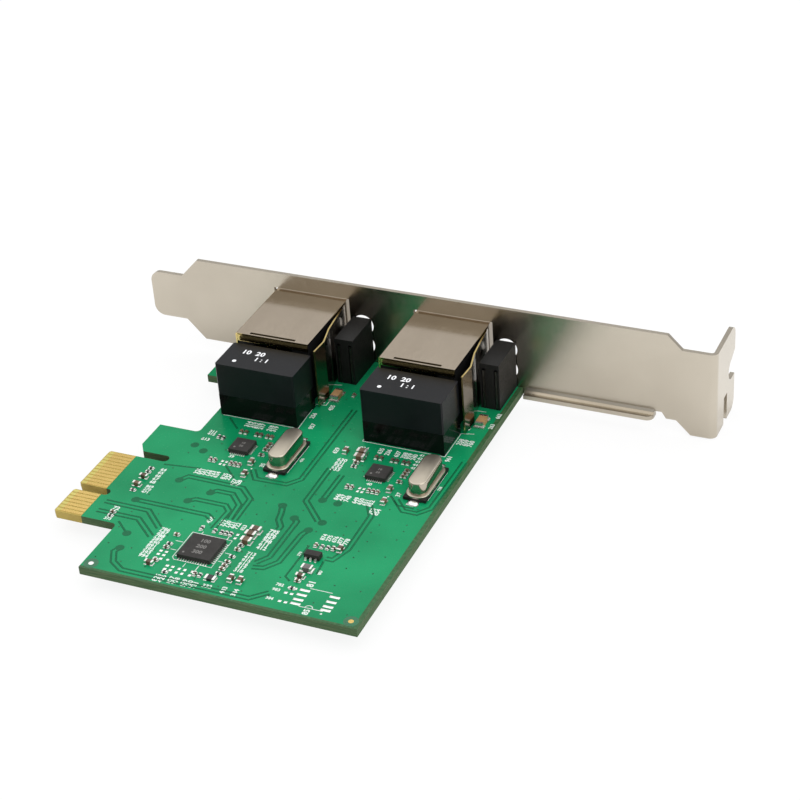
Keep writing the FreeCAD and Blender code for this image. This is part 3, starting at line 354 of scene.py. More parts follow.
def dressNodes():
    print("dressing", len(nodes), "nodes")
    for name, piece in nodes.items():
        for slot in piece.material_slots:
            base = slot.material.name.split(".")[0]
            if base in slotFinishes:
                slot.material = finishes[nodeFinishes.get(name, slotFinishes[base])]
            else:
                print("no finish for", name, base)


dressNodes()


# helpers for new pieces

def deselectAll():
    bpy.ops.object.select_all(action="DESELECT")


def selectOnly(pieces):
    deselectAll()
    for piece in pieces:
        piece.select_set(True)
    bpy.context.view_layer.objects.active = pieces[0]


def editAll():
    bpy.ops.object.mode_set(mode="EDIT")
    bpy.ops.mesh.select_all(action="SELECT")


def leaveEdit():
    bpy.ops.mesh.select_all(action="SELECT")
    bpy.ops.mesh.normals_make_consistent(inside=False)
    bpy.ops.object.mode_set(mode="OBJECT")


def faceOutwards(piece):
    # copies with a negative height are inside out until their normals are made anew
    selectOnly([piece])
    editAll()
    leaveEdit()


def settle(piece, name, finish):
    # puts the piece's place into its mesh, gives it its finish and hangs it under the root body
    selectOnly([piece])
    bpy.ops.object.transform_apply(location=True, rotation=True, scale=True)
    piece.name = piece.data.name = name
    piece.data.materials.clear()
    piece.data.materials.append(finishes[finish])
    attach(piece, "root")
    print("made", name, len(piece.data.polygons), "faces")
    return piece


def joinAll(parts):
    selectOnly(parts)
    if len(parts) > 1:
        bpy.ops.object.join()
    return bpy.context.view_layer.objects.active


def drawUp(steps):
    # draws a flat start up ring by ring; each step is a rise and how the ring narrows
    form = bpy.context.active_object
    editAll()
    for rise, narrower in steps:
        bpy.ops.mesh.extrude_region_move(TRANSFORM_OT_translate={"value": (0, 0, rise)})
        bpy.ops.transform.resize(value=(narrower, narrower, 1), center_override=(0, 0, 0))
    leaveEdit()
    return form


def risingForm(sides, steps):
    # a round form of radius one
    deselectAll()
    bpy.ops.mesh.primitive_circle_add(vertices=sides, radius=1, fill_type="NGON", location=(0, 0, 0))
    return drawUp(steps)


def risingBlock(steps):
    # a square form one unit wide
    deselectAll()
    bpy.ops.mesh.primitive_plane_add(size=1, location=(0, 0, 0))
    return drawUp(steps)


def settleCopies(master, spots, name, finish):
    # one piece from copies of the master, each spot a place in metres and a size in millimetres
    copies = []
    for place, size in spots:
        copy = bpy.data.objects.new(name, master.data.copy())
        bpy.context.scene.collection.objects.link(copy)
        copy.location = place
        copy.scale = [side * mm for side in size]
        copies.append(copy)
    bpy.data.objects.remove(master)
    return settle(joinAll(copies), name, finish)


def discAt(x, y, radius):
    # the spot of a disc on the board, from millimetres
    return (x * mm, y * mm, boardTop), (radius, radius, 1)


def makeStrips(name, lines, look, top, finish):
    # flattened round strips along straight runs, drawn in millimetres
    curve = bpy.data.curves.new(name, "CURVE")
    curve.dimensions = "3D"
    curve.twist_mode = "Z_UP"
    curve.bevel_depth = look["width"] / 2
    curve.bevel_resolution = 1
    curve.use_fill_caps = True
    for line in lines:
        spline = curve.splines.new("POLY")
        spline.points.add(len(line) - 1)
        for point, (x, y) in zip(spline.points, line):
            point.co = (x, y, 0, 1)
    strips = bpy.data.objects.new(name, curve)
    bpy.context.scene.collection.objects.link(strips)
    selectOnly([strips])
    bpy.ops.object.convert(target="MESH")
    strips = bpy.context.view_layer.objects.active
    strips.scale = (mm, mm, mm * look["height"] / look["width"] * 2)
    strips.location = (0, 0, top)
    return settle(strips, name, finish)


def makeNumbers(name, labels, lift, top, finish, mirrored=False):
    # plain numbers, set at full size, made a mesh, then brought to their place
    parts = []
    for words, x, y, size, turn in labels:
        deselectAll()
        bpy.ops.object.text_add(location=(x * mm, y * mm, top))
        label = bpy.context.active_object
        label.data.body = words
        label.data.align_x = label.data.align_y = "CENTER"
        label.data.resolution_u = 2
        label.data.extrude = lift / size
        label.data.offset = 0.03  # strokes a little bolder than the font's
        label.rotation_euler = (math.pi if mirrored else 0, 0, turn)
        label.scale = (size * mm, size * mm, size * mm)
        parts.append(label)
    selectOnly(parts)
    bpy.ops.object.convert(target="MESH")
    return settle(joinAll(parts), name, finish)


def boxOf(points):
    return (Vector([min(point[i] for point in points) for i in range(3)]),
            Vector([max(point[i] for point in points) for i in range(3)]))


def looseBoxes(nodeName):
    # the box of each loose part of a node, read from a merged copy of its mesh
    mesh = bmesh.new()
    mesh.from_mesh(nodes[nodeName].data)
    bmesh.ops.remove_doubles(mesh, verts=mesh.verts, dist=0.000001)
    seen, boxes = set(), []
    for start in mesh.verts:
        if start in seen:
            continue
        seen.add(start)
        group, front = [], [start]
        while front:
            vert = front.pop()
            group.append(vert.co.copy())
            for edge in vert.link_edges:
                other = edge.other_vert(vert)
                if other not in seen:
                    seen.add(other)
                    front.append(other)
        boxes.append(boxOf(group))
    mesh.free()
    boxes.sort(key=lambda box: [round(side, 6) for side in box[0]])
    return boxes


def pinEnds(nodeName, level, reach):
    # the parts of a node's pins below a level, as boxes; points of one pin lie within reach of its first
    groups = []
    for vert in nodes[nodeName].data.vertices:
        if vert.co.z < level:
            for group in groups:
                if abs(group[0].x - vert.co.x) < reach and abs(group[0].y - vert.co.y) < reach:
                    group.append(vert.co)
                    break
            else:
                groups.append([vert.co])
    return [boxOf(group) for group in groups]


def offsetLine(line, aside):
    # the same run, moved sideways, with its corners mitred
    moved = []
    for i, (x, y) in enumerate(line):
        before = Vector(line[i]) - Vector(line[i - 1]) if i else None
        after = Vector(line[i + 1]) - Vector(line[i]) if i < len(line) - 1 else None
        ways = [way.normalized() for way in (before, after) if way]
        normal = sum((Vector((-way.y, way.x)) for way in ways), Vector((0, 0))).normalized()
        lean = normal.dot(Vector((-ways[0].y, ways[0].x)))
        reach = aside / max(0.5, lean)  # no mitre over twice the offset
        moved.append((x + normal.x * reach, y + normal.y * reach))
    return moved


def makeTraces():
    # runs in millimetres from the key notch, seen as channels in the mask; the pairs run side by side
    look = {"width": 0.40, "height": 0.02, "apart": 0.45, "blob": 0.85,
            "discForm": [(0.012, 1.0), (0.004, 0.94)],
            "bundles": ((20, 26), (50, 44)), "bundleTraces": 4, "bundlePitch": 1.5,
            "fingerTraces": 3, "fingerPitch": 1.6, "fingerFront": 2.2}
    pairs = [
        [(17.8, 7.7), (18.9, 9.3), (30.3, 9.1), (33.2, 6.4), (33.5, -0.4)],
        [(25.3, 5.9), (26.2, 6.8), (29.4, 6.8), (32.1, 4.1), (32.5, -0.4)],
        [(22.5, 2.3), (23.7, 3.2), (29.8, 3.2), (31.2, 1.8), (31, -4)],
        [(13, -0.4), (28, -0.5), (29.6, -1.6)], [(8, -2.6), (17.1, -2.7), (21.6, -6.8)],
        [(8, -5.5), (16.6, -5.5), (21.4, -9.5)],
        [(17.8, -14.3), (17.3, -15.5), (18.7, -18.2), (21.2, -19.8), (46.2, -19.8), (48.9, -17.3)],
        [(39.8, 6.4), (40.5, 4.5), (41, 2.3), (42.3, 0.5), (42.3, -0.5)],
        [(43.5, 3.6), (44.4, 2.7), (44.4, -8.2), (42.8, -10.5)],
        [(47.5, 1.1), (46.9, -0.5), (46.6, -9), (44.8, -11.4), (42.8, -11.8)],
        [(43, 20), (43.2, 9.1), (48, 4.1)], [(46, 18.6), (46, 10)],
        [(39.1, 39.5), (39.4, 15), (37.5, 12.7), (31.2, 12.5), (29.4, 15)],
        [(66, 29.5), (65.7, 14), (63.9, 11.8), (61.2, 11.8), (58.7, 14.5)],
        [(54.8, 11.4), (56.4, 8.6), (56.6, -1.8), (55.3, -5.5), (54, -5.5)]]
    singles = [
        [(49.6, -3), (49.5, -12.3), (50.8, -13.3)], [(54, -6.4), (54.4, -10)],
        [(13.5, -7.3), (16.6, -10)], [(12.5, 11.4), (19.8, 12.3)], [(24, 14.5), (27.2, 11.5)],
        [(20.2, 26.5), (17.0, 29.6)], [(57.2, 15.4), (59.6, 13.0), (62.8, 13.0)]]
    blobs = [
        (17.8, 7.7), (25.3, 5.9), (22.5, 2.3), (13.1, -0.4), (16.8, -10.1), (17.8, -14.3), (39.8, 6.4),
        (43.5, 3.6), (47.5, 1.1), (48.9, 3.9), (46.0, 10.2), (49.1, 10.1), (15, 19), (17.5, 17.7)]
    settleCopies(risingForm(14, look["discForm"]), [discAt(x, y, look["blob"]) for x, y in blobs],
                 "trace_pads", "maskChannel")
    lines = [offsetLine(line, side * look["apart"]) for line in pairs for side in (-1, 1)] + singles
    makeStrips("trace_channels", lines, look, boardTop, "maskChannel")
    under = []
    for start, end in look["bundles"]:  # from under each port towards the switch chip
        for i in range(look["bundleTraces"]):
            left, right = start + look["bundlePitch"] * i, end + look["bundlePitch"] * i
            under.append([(left, 32), (left, 24 - i), (right, 16 - i), (right, 2 + i)])
    for i in range(look["fingerTraces"]):
        y = look["fingerFront"] + look["fingerPitch"] * i
        under.append([(6.5, y), (14 + i, y), (17 + i, y - 3)])
    makeStrips("trace_channels_under", under, look, boardBottom, "maskChannel")


def makeVias():
    # the vias that stand out, and a loose grid of more where nothing stands on the board
    look = {"radius": 0.17, "form": [(0.014, 1.0), (0.006, 0.7), (-0.02, 0.8)], "corner": (14.8, -18.2),
            "step": 4.9, "rows": 9, "columns": 11, "shift": 0.5, "clear": 1.8, "right": 66.0, "seed": 5}
    places = [
        (58.6, -1.7), (58.6, -6.9), (58.7, -11.9), (63.7, -1.8), (63.6, -6.8), (63.6, -12), (57.3, -17.4),
        (36.6, 8.9), (36.6, 6.2), (63.6, 13), (63.6, 8), (63.6, 3.4), (58.4, 4), (49.8, 7.4), (53.5, 4.2),
        (53.4, -1.9), (29.3, -17.6), (36.5, 2.5), (48.7, 15.6), (38.6, 21.4), (38.4, 27.4), (37.4, 33.2),
        (41.9, 28.9), (41.1, 33.1), (36.0, 42.5), (21.4, 19.3), (26.3, 17.8), (54.6, 19.2), (48.3, 22.6)]
    draw = random.Random(look["seed"])
    left, front = look["corner"]
    for row in range(look["rows"]):
        for column in range(look["columns"]):
            x = left + column * look["step"] + draw.uniform(-look["shift"], look["shift"])
            y = front + row * look["step"] + draw.uniform(-look["shift"], look["shift"])
            if all(math.hypot(x - a, y - b) > look["clear"] for a, b in places):
                places.append((x, y))
    covering = [name for name in nodes if name not in ("circuit_board", "bracket")
                and "capacitor" not in name and "resistor" not in name]
    taken = [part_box(name) for name in covering]
    places = [(x, y) for x, y in places if x < look["right"] and not any(
        low.x < x * mm < high.x and low.y < y * mm < high.y for low, high in taken)]
    settleCopies(risingForm(10, look["form"]), [discAt(x, y, look["radius"]) for x, y in places],
                 "vias", "viaGreen")
    spots = [((x * mm, y * mm, boardBottom), (look["radius"], look["radius"], -1)) for x, y in places]
    faceOutwards(settleCopies(risingForm(10, look["form"]), spots, "vias_under", "viaGreen"))


def makeLegendLines():
    # printed outlines, dots and the arc beside the empty footprint, in millimetres
    look = {"width": 0.17, "height": 0.016, "dotForm": [(0.010, 1.0), (0.003, 0.9)],
            "arcMiddle": (57.1, -19.0), "arcRadius": 0.7, "arcPoints": 10, "arcStep": 20}
    lines = [
        [(15.2, 39.0), (15.2, 30.6)], [(15.2, 30.2), (31.4, 30.2)],
        [(31.4, 30.2), (31.0, 39.1), (33.05, 39.3), (33.05, 40.6)],
        [(29.8, 40.6), (29.6, 46.3), (33.0, 47.0)], [(45.0, 39.0), (45.0, 30.1)],
        [(45.0, 30.1), (61.8, 30.0)], [(61.8, 30.0), (61.8, 38.2), (64.2, 38.8)],
        [(60.3, 41.0), (60.3, 50.3)], [(60.6, 46.4), (63.6, 46.6)],
        [(28.0, -6.0), (36.0, -6.1), (36.1, -14.3), (28.6, -14.2), (28.05, -13.6), (28.0, -6.0)],
        [(26.3, -9.2), (27.8, -9.2)], [(26.6, -11.7), (27.8, -11.7)], [(36.4, -9.7), (37.8, -9.7)],
        [(36.4, -12.2), (37.4, -12.2)], [(31.2, -14.6), (31.2, -15.7)], [(33.8, -14.6), (33.8, -15.8)],
        [(29.8, -5.3), (29.8, -6.0)], [(34.9, -5.3), (34.9, -6.1)], [(36.0, 16.0), (36.0, 25.4)],
        [(64.2, 16.0), (64.2, 25.4)], [(55.1, -14.0), (59.3, -14.0)], [(55.3, -19.0), (59.8, -19.0)],
        [(49.6, -3.9), (49.6, -5.4)], [(14.2, 31.8), (14.9, 31.0)]]
    blobs = [
        (27.7, -14.7, 0.28), (59.8, -19.7, 0.2), (29.0, 15.2, 0.16), (56.9, 15.0, 0.16),
        (21.2, 25.6, 0.14), (49.9, 25.4, 0.14)]
    arc = []
    for step in range(look["arcPoints"]):
        angle = math.radians(step * look["arcStep"])
        arc.append((look["arcMiddle"][0] + look["arcRadius"] * math.cos(angle),
                    look["arcMiddle"][1] + look["arcRadius"] * math.sin(angle)))
    makeStrips("legend_lines", lines + [arc], look, boardTop, "legendWhite")
    settleCopies(risingForm(12, look["dotForm"]), [discAt(*blob) for blob in blobs],
                 "legend_dots", "legendWhite")


def makeLegendNumbers():
    # stacks of plain numbers that count up to the last one and start again, some with a digit in front
    look = {"lift": 0.006, "seed": 8, "first": 11, "last": 98, "leading": "2346789", "longShare": 1.7,
            "fill": 1.28, "digitWidth": 0.56, "underStart": 18.5, "underStep": 8.4,
            "underRows": (-16.0, 19.5), "underPerRow": 6, "underSize": 1.3}
    # each block: left, right, front, back, how many numbers, and whether they read away from the front
    blocks = [
        (15.0, 17.5, 22.9, 24.6, 2, False), (15.0, 17.0, 20.9, 21.9, 1, False),
        (21.0, 25.0, 27.5, 29.8, 4, True), (25.8, 27.8, 27.5, 29.8, 2, True),
        (19.2, 24.2, 10.3, 12.6, 5, True), (24.8, 26.8, 10.3, 12.6, 2, True),
        (27.3, 29.3, 8.9, 11.6, 2, True), (41.1, 42.1, 24.5, 26.8, 1, True),
        (42.9, 45.1, 19.4, 23.6, 4, False), (45.3, 47.3, 27.4, 28.5, 1, False),
        (49.2, 50.2, 27.0, 29.2, 1, True), (50.7, 51.7, 27.0, 29.2, 1, True),
        (52.6, 53.6, 27.0, 29.2, 1, True), (54.0, 57.0, 27.0, 29.2, 3, True),
        (57.1, 58.2, 24.2, 29.6, 5, False), (47.7, 50.7, 10.8, 13.3, 3, True),
        (51.3, 55.3, 10.8, 13.3, 4, True), (55.5, 57.5, 8.8, 11.0, 2, True),
        (34.0, 35.0, 37.6, 40.0, 1, True), (31.8, 32.8, 34.0, 36.4, 1, True),
        (33.2, 34.2, 30.4, 33.0, 1, True), (62.2, 65.4, 34.0, 37.0, 3, True),
        (62.3, 63.3, 28.2, 31.0, 1, True), (66.0, 66.9, 44.6, 47.2, 1, True),
        (66.0, 66.9, 41.0, 43.4, 1, True), (12.7, 14.0, 5.0, 10.2, 5, False),
        (12.7, 14.4, 1.8, 4.5, 3, False), (10.2, 11.9, -4.5, -3.4, 1, False),
        (10.3, 12.0, -7.7, -6.8, 1, False), (50.5, 56.0, -0.9, 1.1, 5, True),
        (48.7, 49.5, -6.4, -5.0, 1, True), (54.3, 55.2, -10.2, -8.8, 1, True),
        (54.0, 55.5, -13.8, -11.8, 1, True), (48.8, 50.5, -15.2, -14.3, 1, False),
        (48.8, 50.5, -16.6, -15.7, 1, False), (48.8, 50.4, -19.1, -18.2, 1, False),
        (56.6, 57.8, -20.9, -19.2, 1, True), (21.9, 24.0, -15.5, -6.4, 9, False),
        (40.8, 43.0, -6.9, -0.8, 6, False), (40.0, 42.0, -14.0, -8.0, 6, False),
        (31.3, 35.3, -3.0, -0.6, 4, True), (35.7, 36.6, -2.8, -1.0, 1, True),
        (28.8, 29.8, -2.9, -0.5, 1, True), (27.8, 29.9, -21.0, -18.6, 2, True),
        (30.5, 32.5, -20.7, -18.5, 2, True), (33.0, 36.2, -20.7, -18.5, 3, True),
        (36.8, 38.9, -19.7, -18.7, 1, False), (40.6, 41.6, -20.3, -18.1, 1, True),
        (42.8, 43.8, -20.3, -18.1, 1, True), (30.0, 31.0, 16.2, 17.6, 1, True),
        (36.4, 37.2, 20.0, 21.4, 1, True), (58.0, 59.0, 15.4, 16.8, 1, True),
        (64.5, 65.3, 19.5, 20.9, 1, True), (22.9, 24.1, 17.2, 18.2, 1, False),
        (51.4, 52.6, 17.0, 18.0, 1, False)]
    draw = random.Random(look["seed"])
    labels, number = [], look["first"]
    for left, right, front, back, count, away in blocks:
        for i in range(count):
            share = (i + 0.5) / count
            if away:
                pitch, length = (right - left) / count, back - front
                x, y, turn = left + (right - left) * share, (front + back) / 2, math.pi / 2
            else:
                pitch, length = (back - front) / count, right - left
                x, y, turn = (left + right) / 2, back - (back - front) * share, 0.0
            leading = draw.choice(look["leading"]) if length > look["longShare"] * pitch else ""
            words = leading + str(number)
            number = number + 1 if number < look["last"] else look["first"]
            size = min(pitch * look["fill"], length / (look["digitWidth"] * len(words)))
            labels.append((words, x, y, size, turn))
    makeNumbers("legend_numbers", labels, look["lift"], boardTop, "legendWhite")
    labels = []
    for i in range(look["underPerRow"] * len(look["underRows"])):
        row, column = divmod(i, look["underPerRow"])
        labels.append((str(look["first"] + i), look["underStart"] + column * look["underStep"],
                       look["underRows"][row], look["underSize"], 0.0))
    makeNumbers("legend_numbers_under", labels, look["lift"], boardBottom, "legendWhite",
                mirrored=True)


solderCushion = [(0.5, 0.96), (0.35, 0.82), (0.15, 0.6)]


def makePads():
    # bare tinned lands in pairs, in front of the LAN chips and in the two rows of the empty footprint
    look = {"rise": 0.06, "aside": 0.55, "long": 0.62, "short": 0.55, "chipFront": 5.5,
            "chipAside": (-1.67, -0.82), "chipStep": 0.5, "chipLand": (0.5, 0.6), "rowLand": (1.9, 0.6)}
    alongX = [(25.8, -12.7), (25.8, -13.7), (25.8, -14.8), (29.0, -16.2), (29.0, -17.2),
              (52.15, -16.4), (52.15, -18.8), (52.15, -14.9)]
    alongY = [(30.9, -16.9), (32.0, -16.9), (33.5, -16.9), (36.1, -4.7), (29.0, -4.4)]
    rows = [(54.45, (-14.8, -16.1, -17.45, -18.6)), (60.1, (-14.9, -16.3, -17.6, -18.6))]
    long, short = look["long"], look["short"]
    pads = [(x + side * look["aside"], y, long, short) for x, y in alongX for side in (-1, 1)]
    pads += [(x, y + side * look["aside"], short, long) for x, y in alongY for side in (-1, 1)]
    for chipName in ("lan_chip_1", "lan_chip_2"):
        low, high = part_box(chipName)
        middle = (low + high) / 2 / mm
        pads += [(middle.x + aside, middle.y - look["chipFront"] + side * look["chipStep"], *look["chipLand"])
                 for aside in look["chipAside"] for side in (-1, 1)]
    pads += [(x, y, *look["rowLand"]) for x, places in rows for y in places]
    spots = [((x * mm, y * mm, boardTop), (wide, deep, look["rise"])) for x, y, wide, deep in pads]
    settleCopies(risingBlock(solderCushion), spots, "bare_pads", "solder")


def makeFillets():
    # solder round the foot of every metal end, and on the lands that reach out past the chips
    look = {"ends": {"capacitor_ends": (0.13, 0.22), "resistor_ends": (0.12, 0.16),
                     "isolation_capacitor_ends": (0.3, 0.5), "inductor_ends": (0.25, 0.4)},  # out and rise
            "share": 0.5, "reach": {"switch_chip": 0.34, "lan_chip_1": 0.22, "lan_chip_2": 0.22},
            "widen": 1.1, "landRise": 0.12, "coolingLand": 1.5}
    spots = []
    for nodeName, (out, rise) in look["ends"].items():
        for low, high in looseBoxes(nodeName):
            middle, size = (low + high) / 2, (high - low) / mm
            spots.append(((middle.x, middle.y, boardTop),
                          (size.x + out * 2, size.y + out * 2, min(rise, size.z * look["share"]))))
    for chipName, reach in look["reach"].items():
        chipLow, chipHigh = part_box(chipName)
        for low, high in looseBoxes(chipName + "_lands"):
            middle, size = (low + high) / 2, (high - low) / mm
            if max(size.x, size.y) > look["coolingLand"]:
                continue
            aside = middle - (chipLow + chipHigh) / 2
            along = 0 if abs(aside.x) > abs(aside.y) else 1
            middle[along] += math.copysign(reach / 2, aside[along]) * mm
            size[along] += reach
            size[1 - along] *= look["widen"]
            spots.append(((middle.x, middle.y, boardTop), (size.x, size.y, look["landRise"])))
    settleCopies(risingBlock(solderCushion), spots, "chip_fillets", "solder")


def makeTargets():
    # sighting marks for the placing machine, and the rings of the plated holes
    look = {"ground": 1.35, "groundForm": [(0.010, 1.0), (0.003, 0.96)],
            "mark": 0.5, "markForm": [(0.020, 1.0), (0.008, 0.85)],
            "ring": 0.75, "ringForm": [(0.03, 0.96), (0.01, 0.62), (-0.03, 0.9)]}
    marks = [(65.4, -19.85, "fingerGold", "gold_plate"), (15.2, -19.9, "solder", "tin")]
    holes = [(62.2, 40.3), (31.7, 40.4)]
    settleCopies(risingForm(24, look["groundForm"]), [discAt(x, y, look["ground"]) for x, y, *_ in marks],
                 "target_grounds", "viaGreen")
    for i, (x, y, finish, slotName) in enumerate(marks):
        settleCopies(risingForm(16, look["markForm"]), [discAt(x, y, look["mark"])],
                     "target_%d" % (i + 1), finish)
    settleCopies(risingForm(16, look["ringForm"]), [discAt(x, y, look["ring"]) for x, y in holes],
                 "plated_rings", "solder")


def makeSolderJoints():
    # a cone of solder round every pin under the board
    look = {"pinNodes": ("transformer_pins", "jack_contacts", "light_leads", "crystal_leads", "jack_shield"),
            "coneForm": [(0.06, 0.97), (0.14, 0.80), (0.25, 0.74), (0.35, 0.82), (0.20, 0.6)],
            "spare": 0.42, "share": 0.72, "skin": 0.00005, "pinReach": 0.0011, "least": 0.00015}
    spots = []
    for name in nodes:
        if any(word in name for word in look["pinNodes"]):
            for low, high in pinEnds(name, boardBottom - look["skin"], look["pinReach"]):
                middle, tall = (low + high) / 2, (boardBottom - low.z) * look["share"]
                if tall > look["least"]:
                    wide = max(high.x - low.x, high.y - low.y) / 2 / mm + look["spare"]
                    spots.append(((middle.x, middle.y, boardBottom), (wide, wide, -tall / mm)))
    print("solder joints", len(spots))
    joints = settleCopies(risingForm(12, look["coneForm"]), spots, "solder_joints", "solder")
    faceOutwards(joints)
    joints.data.polygons.foreach_set("use_smooth", [True] * len(joints.data.polygons))


def roundedBlock(low, high, corner, edge):
    # a block with round corners seen from above and a softened top edge
    deselectAll()
    bpy.ops.mesh.primitive_cube_add(size=1, location=(low + high) / 2)
    block = bpy.context.active_object
    block.scale = high - low
    bpy.ops.object.transform_apply(location=True, rotation=True, scale=True)
    for upright, offset, segments in ((True, corner, 8), (False, edge, 3)):
        bpy.ops.object.mode_set(mode="EDIT")
        bpy.ops.mesh.select_mode(type="EDGE")
        bpy.ops.mesh.select_all(action="DESELECT")
        mesh = bmesh.from_edit_mesh(block.data)
        for line in mesh.edges:
            first, second = (vert.co for vert in line.verts)
            if upright:
                line.select_set(abs(first.z - second.z) > abs(high.z - low.z) / 2)
            else:
                line.select_set(min(first.z, second.z) > high.z - 0.000001)
        bmesh.update_edit_mesh(block.data)
        bpy.ops.mesh.bevel(offset=offset, segments=segments, affect="EDGES")
        leaveEdit()
    return block


def makeCrystals():
    # a drawn can on its rolled flange, and the solder at both ends
    look = {"inset": 0.00047, "canCorner": 0.00170, "canEdge": 0.00022, "canSmooth": 35,
            "flange": 0.00038, "flangeCorner": 0.0019, "flangeEdge": 0.00014,
            "solder": (1.15, 0.95, 0.5), "solderSmooth": 50, "inward": 0.00085,
            "solderForm": [(0.25, 0.97), (0.35, 0.86), (0.25, 0.72), (0.15, 0.5)]}
    spots = []
    for number in ("1", "2"):
        low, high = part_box("crystal_can_" + number)
        inset = Vector((look["inset"], look["inset"], 0))
        can = roundedBlock(low + inset, high - inset, look["canCorner"], look["canEdge"])
        flangeHigh = Vector((high.x, high.y, low.z + look["flange"]))
        flange = roundedBlock(low, flangeHigh, look["flangeCorner"], look["flangeEdge"])
        cover = settle(joinAll([can, flange]), "crystal_cover_" + number, "canNickel")
        bpy.ops.object.shade_smooth_by_angle(angle=math.radians(look["canSmooth"]))
        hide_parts("crystal_can_" + number)
        low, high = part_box("crystal_leads_" + number)
        spots += [(((low.x + high.x) / 2, y, boardTop), look["solder"])
                  for y in (low.y + look["inward"], high.y - look["inward"])]
    settleCopies(risingForm(14, look["solderForm"]), spots, "crystal_solder", "solder")
    bpy.ops.object.shade_smooth_by_angle(angle=math.radians(look["solderSmooth"]))


def makeShieldLips():
    # the back edge of each roof is folded down over the transformer's top
    look = {"drop": 0.0017, "thick": 0.00025, "sideGap": 0.0001, "fold": 0.0001, "sink": 0.00003,
            "roofSkin": 0.00002, "backStrip": 0.001}
    for number in ("1", "2"):
        shield = "jack_shield_" + number
        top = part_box(shield)[1].z
        roof = [vert.co for vert in nodes[shield].data.vertices if vert.co.z > top - look["roofSkin"]]
        back = min(co.y for co in roof)
        across = [co.x for co in roof if co.y < back + look["backStrip"]]
        left, right = min(across), max(across)
        deselectAll()
        bpy.ops.mesh.primitive_cube_add(size=1, location=((left + right) / 2, back + look["thick"] / 2,
                                                          top - look["drop"] / 2 - look["sink"]))
        lip = bpy.context.active_object
        lip.scale = (right - left - look["sideGap"] * 2, look["thick"], look["drop"])
        bpy.ops.object.transform_apply(location=True, rotation=True, scale=True)
        editAll()
        bpy.ops.mesh.bevel(offset=look["fold"], segments=2, affect="EDGES")
        leaveEdit()
        settle(lip, "shield_lip_" + number, "shieldTinPaintedShade")


def makeScrewRecesses():
    # a dark raised cross on the face of each screw head, painted shade that stands in for its recessed cross
    look = {"reach": 0.62, "wide": 0.13, "rise": 0.02, "armForm": [(0.7, 0.98), (0.3, 0.9)]}
    spots = []
    for low, high in looseBoxes("bracket_screws"):
        middle, across = (low + high) / 2, (high.x - low.x) / mm
        long, short = across * look["reach"], across * look["wide"]
        for wide, deep in ((long, short), (short, long)):
            spots.append(((middle.x, middle.y, low.z), (wide, deep, -look["rise"])))
    # painted shade of the recess, in the dark metal
    arms = settleCopies(risingBlock(look["armForm"]), spots, "screw_cross_painted_shade", "darkMetalPaintedShade")
    faceOutwards(arms)


def makeCoverMarks():
    # a pin-one dot and plain numbers on each transformer
    look = {"size": 1.9, "smaller": 0.9, "lift": 0.006, "dot": 0.42, "dotForm": [(0.012, 1.0), (0.003, 0.92)],
            "dotPlace": (3.2, 2.05), "firstLine": (5.6, 5.6), "secondLine": (8.2, 3.7)}
    labels, spots = [], []
    for name in ("transformer_cover_1", "transformer_cover_2"):
        low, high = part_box(name)
        corner = Vector(low[:2]) / mm
        first, second, dot = (corner + Vector(look[key]) for key in ("firstLine", "secondLine", "dotPlace"))
        labels.append(("10  20", *first, look["size"], 0.0))
        labels.append(("1 : 1", *second, look["size"] * look["smaller"], 0.0))
        spots.append(((dot.x * mm, dot.y * mm, high.z), (look["dot"], look["dot"], 1)))
    settleCopies(risingForm(16, look["dotForm"]), spots, "cover_dots", "coverPrint")
    makeNumbers("cover_numbers", labels, look["lift"], high.z, "coverPrint")


def makeChipMarks():
    # faint plain numbers and a pin-one dot on each chip
    look = {"lift": 0.006, "lineStep": 1.25, "dot": 0.22, "dotInward": 0.0009,
            "dotForm": [(0.012, 1.0), (0.003, 0.92)]}
    chips = [("lan_chip_1", 0.8, ("10", "20")), ("lan_chip_2", 0.8, ("10", "20")),
             ("switch_chip", 1.3, ("100", "200", "300"))]
    labels, spots = {}, []
    for name, size, words in chips:
        low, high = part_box(name)
        middle = (low + high) / 2 / mm
        for i, word in enumerate(words):
            y = middle.y + size * look["lineStep"] * ((len(words) - 1) / 2 - i)
            labels.setdefault(high.z, []).append((word, middle.x, y, size, 0.0))
        spots.append(((low.x + look["dotInward"], low.y + look["dotInward"], high.z),
                      (look["dot"], look["dot"], 1)))
    settleCopies(risingForm(16, look["dotForm"]), spots, "chip_dots", "laserGrey")
    for i, top in enumerate(sorted(labels)):
        makeNumbers("chip_numbers_%d" % (i + 1), labels[top], look["lift"], top, "laserGrey")


print("board artwork")
makeTraces()
makeVias()
makeLegendLines()
makeLegendNumbers()
print("solder and small pieces")
makePads()
makeFillets()
makeTargets()
makeSolderJoints()
makeCrystals()
makeShieldLips()
makeScrewRecesses()
makeCoverMarks()
makeChipMarks()


# camera, stage and light

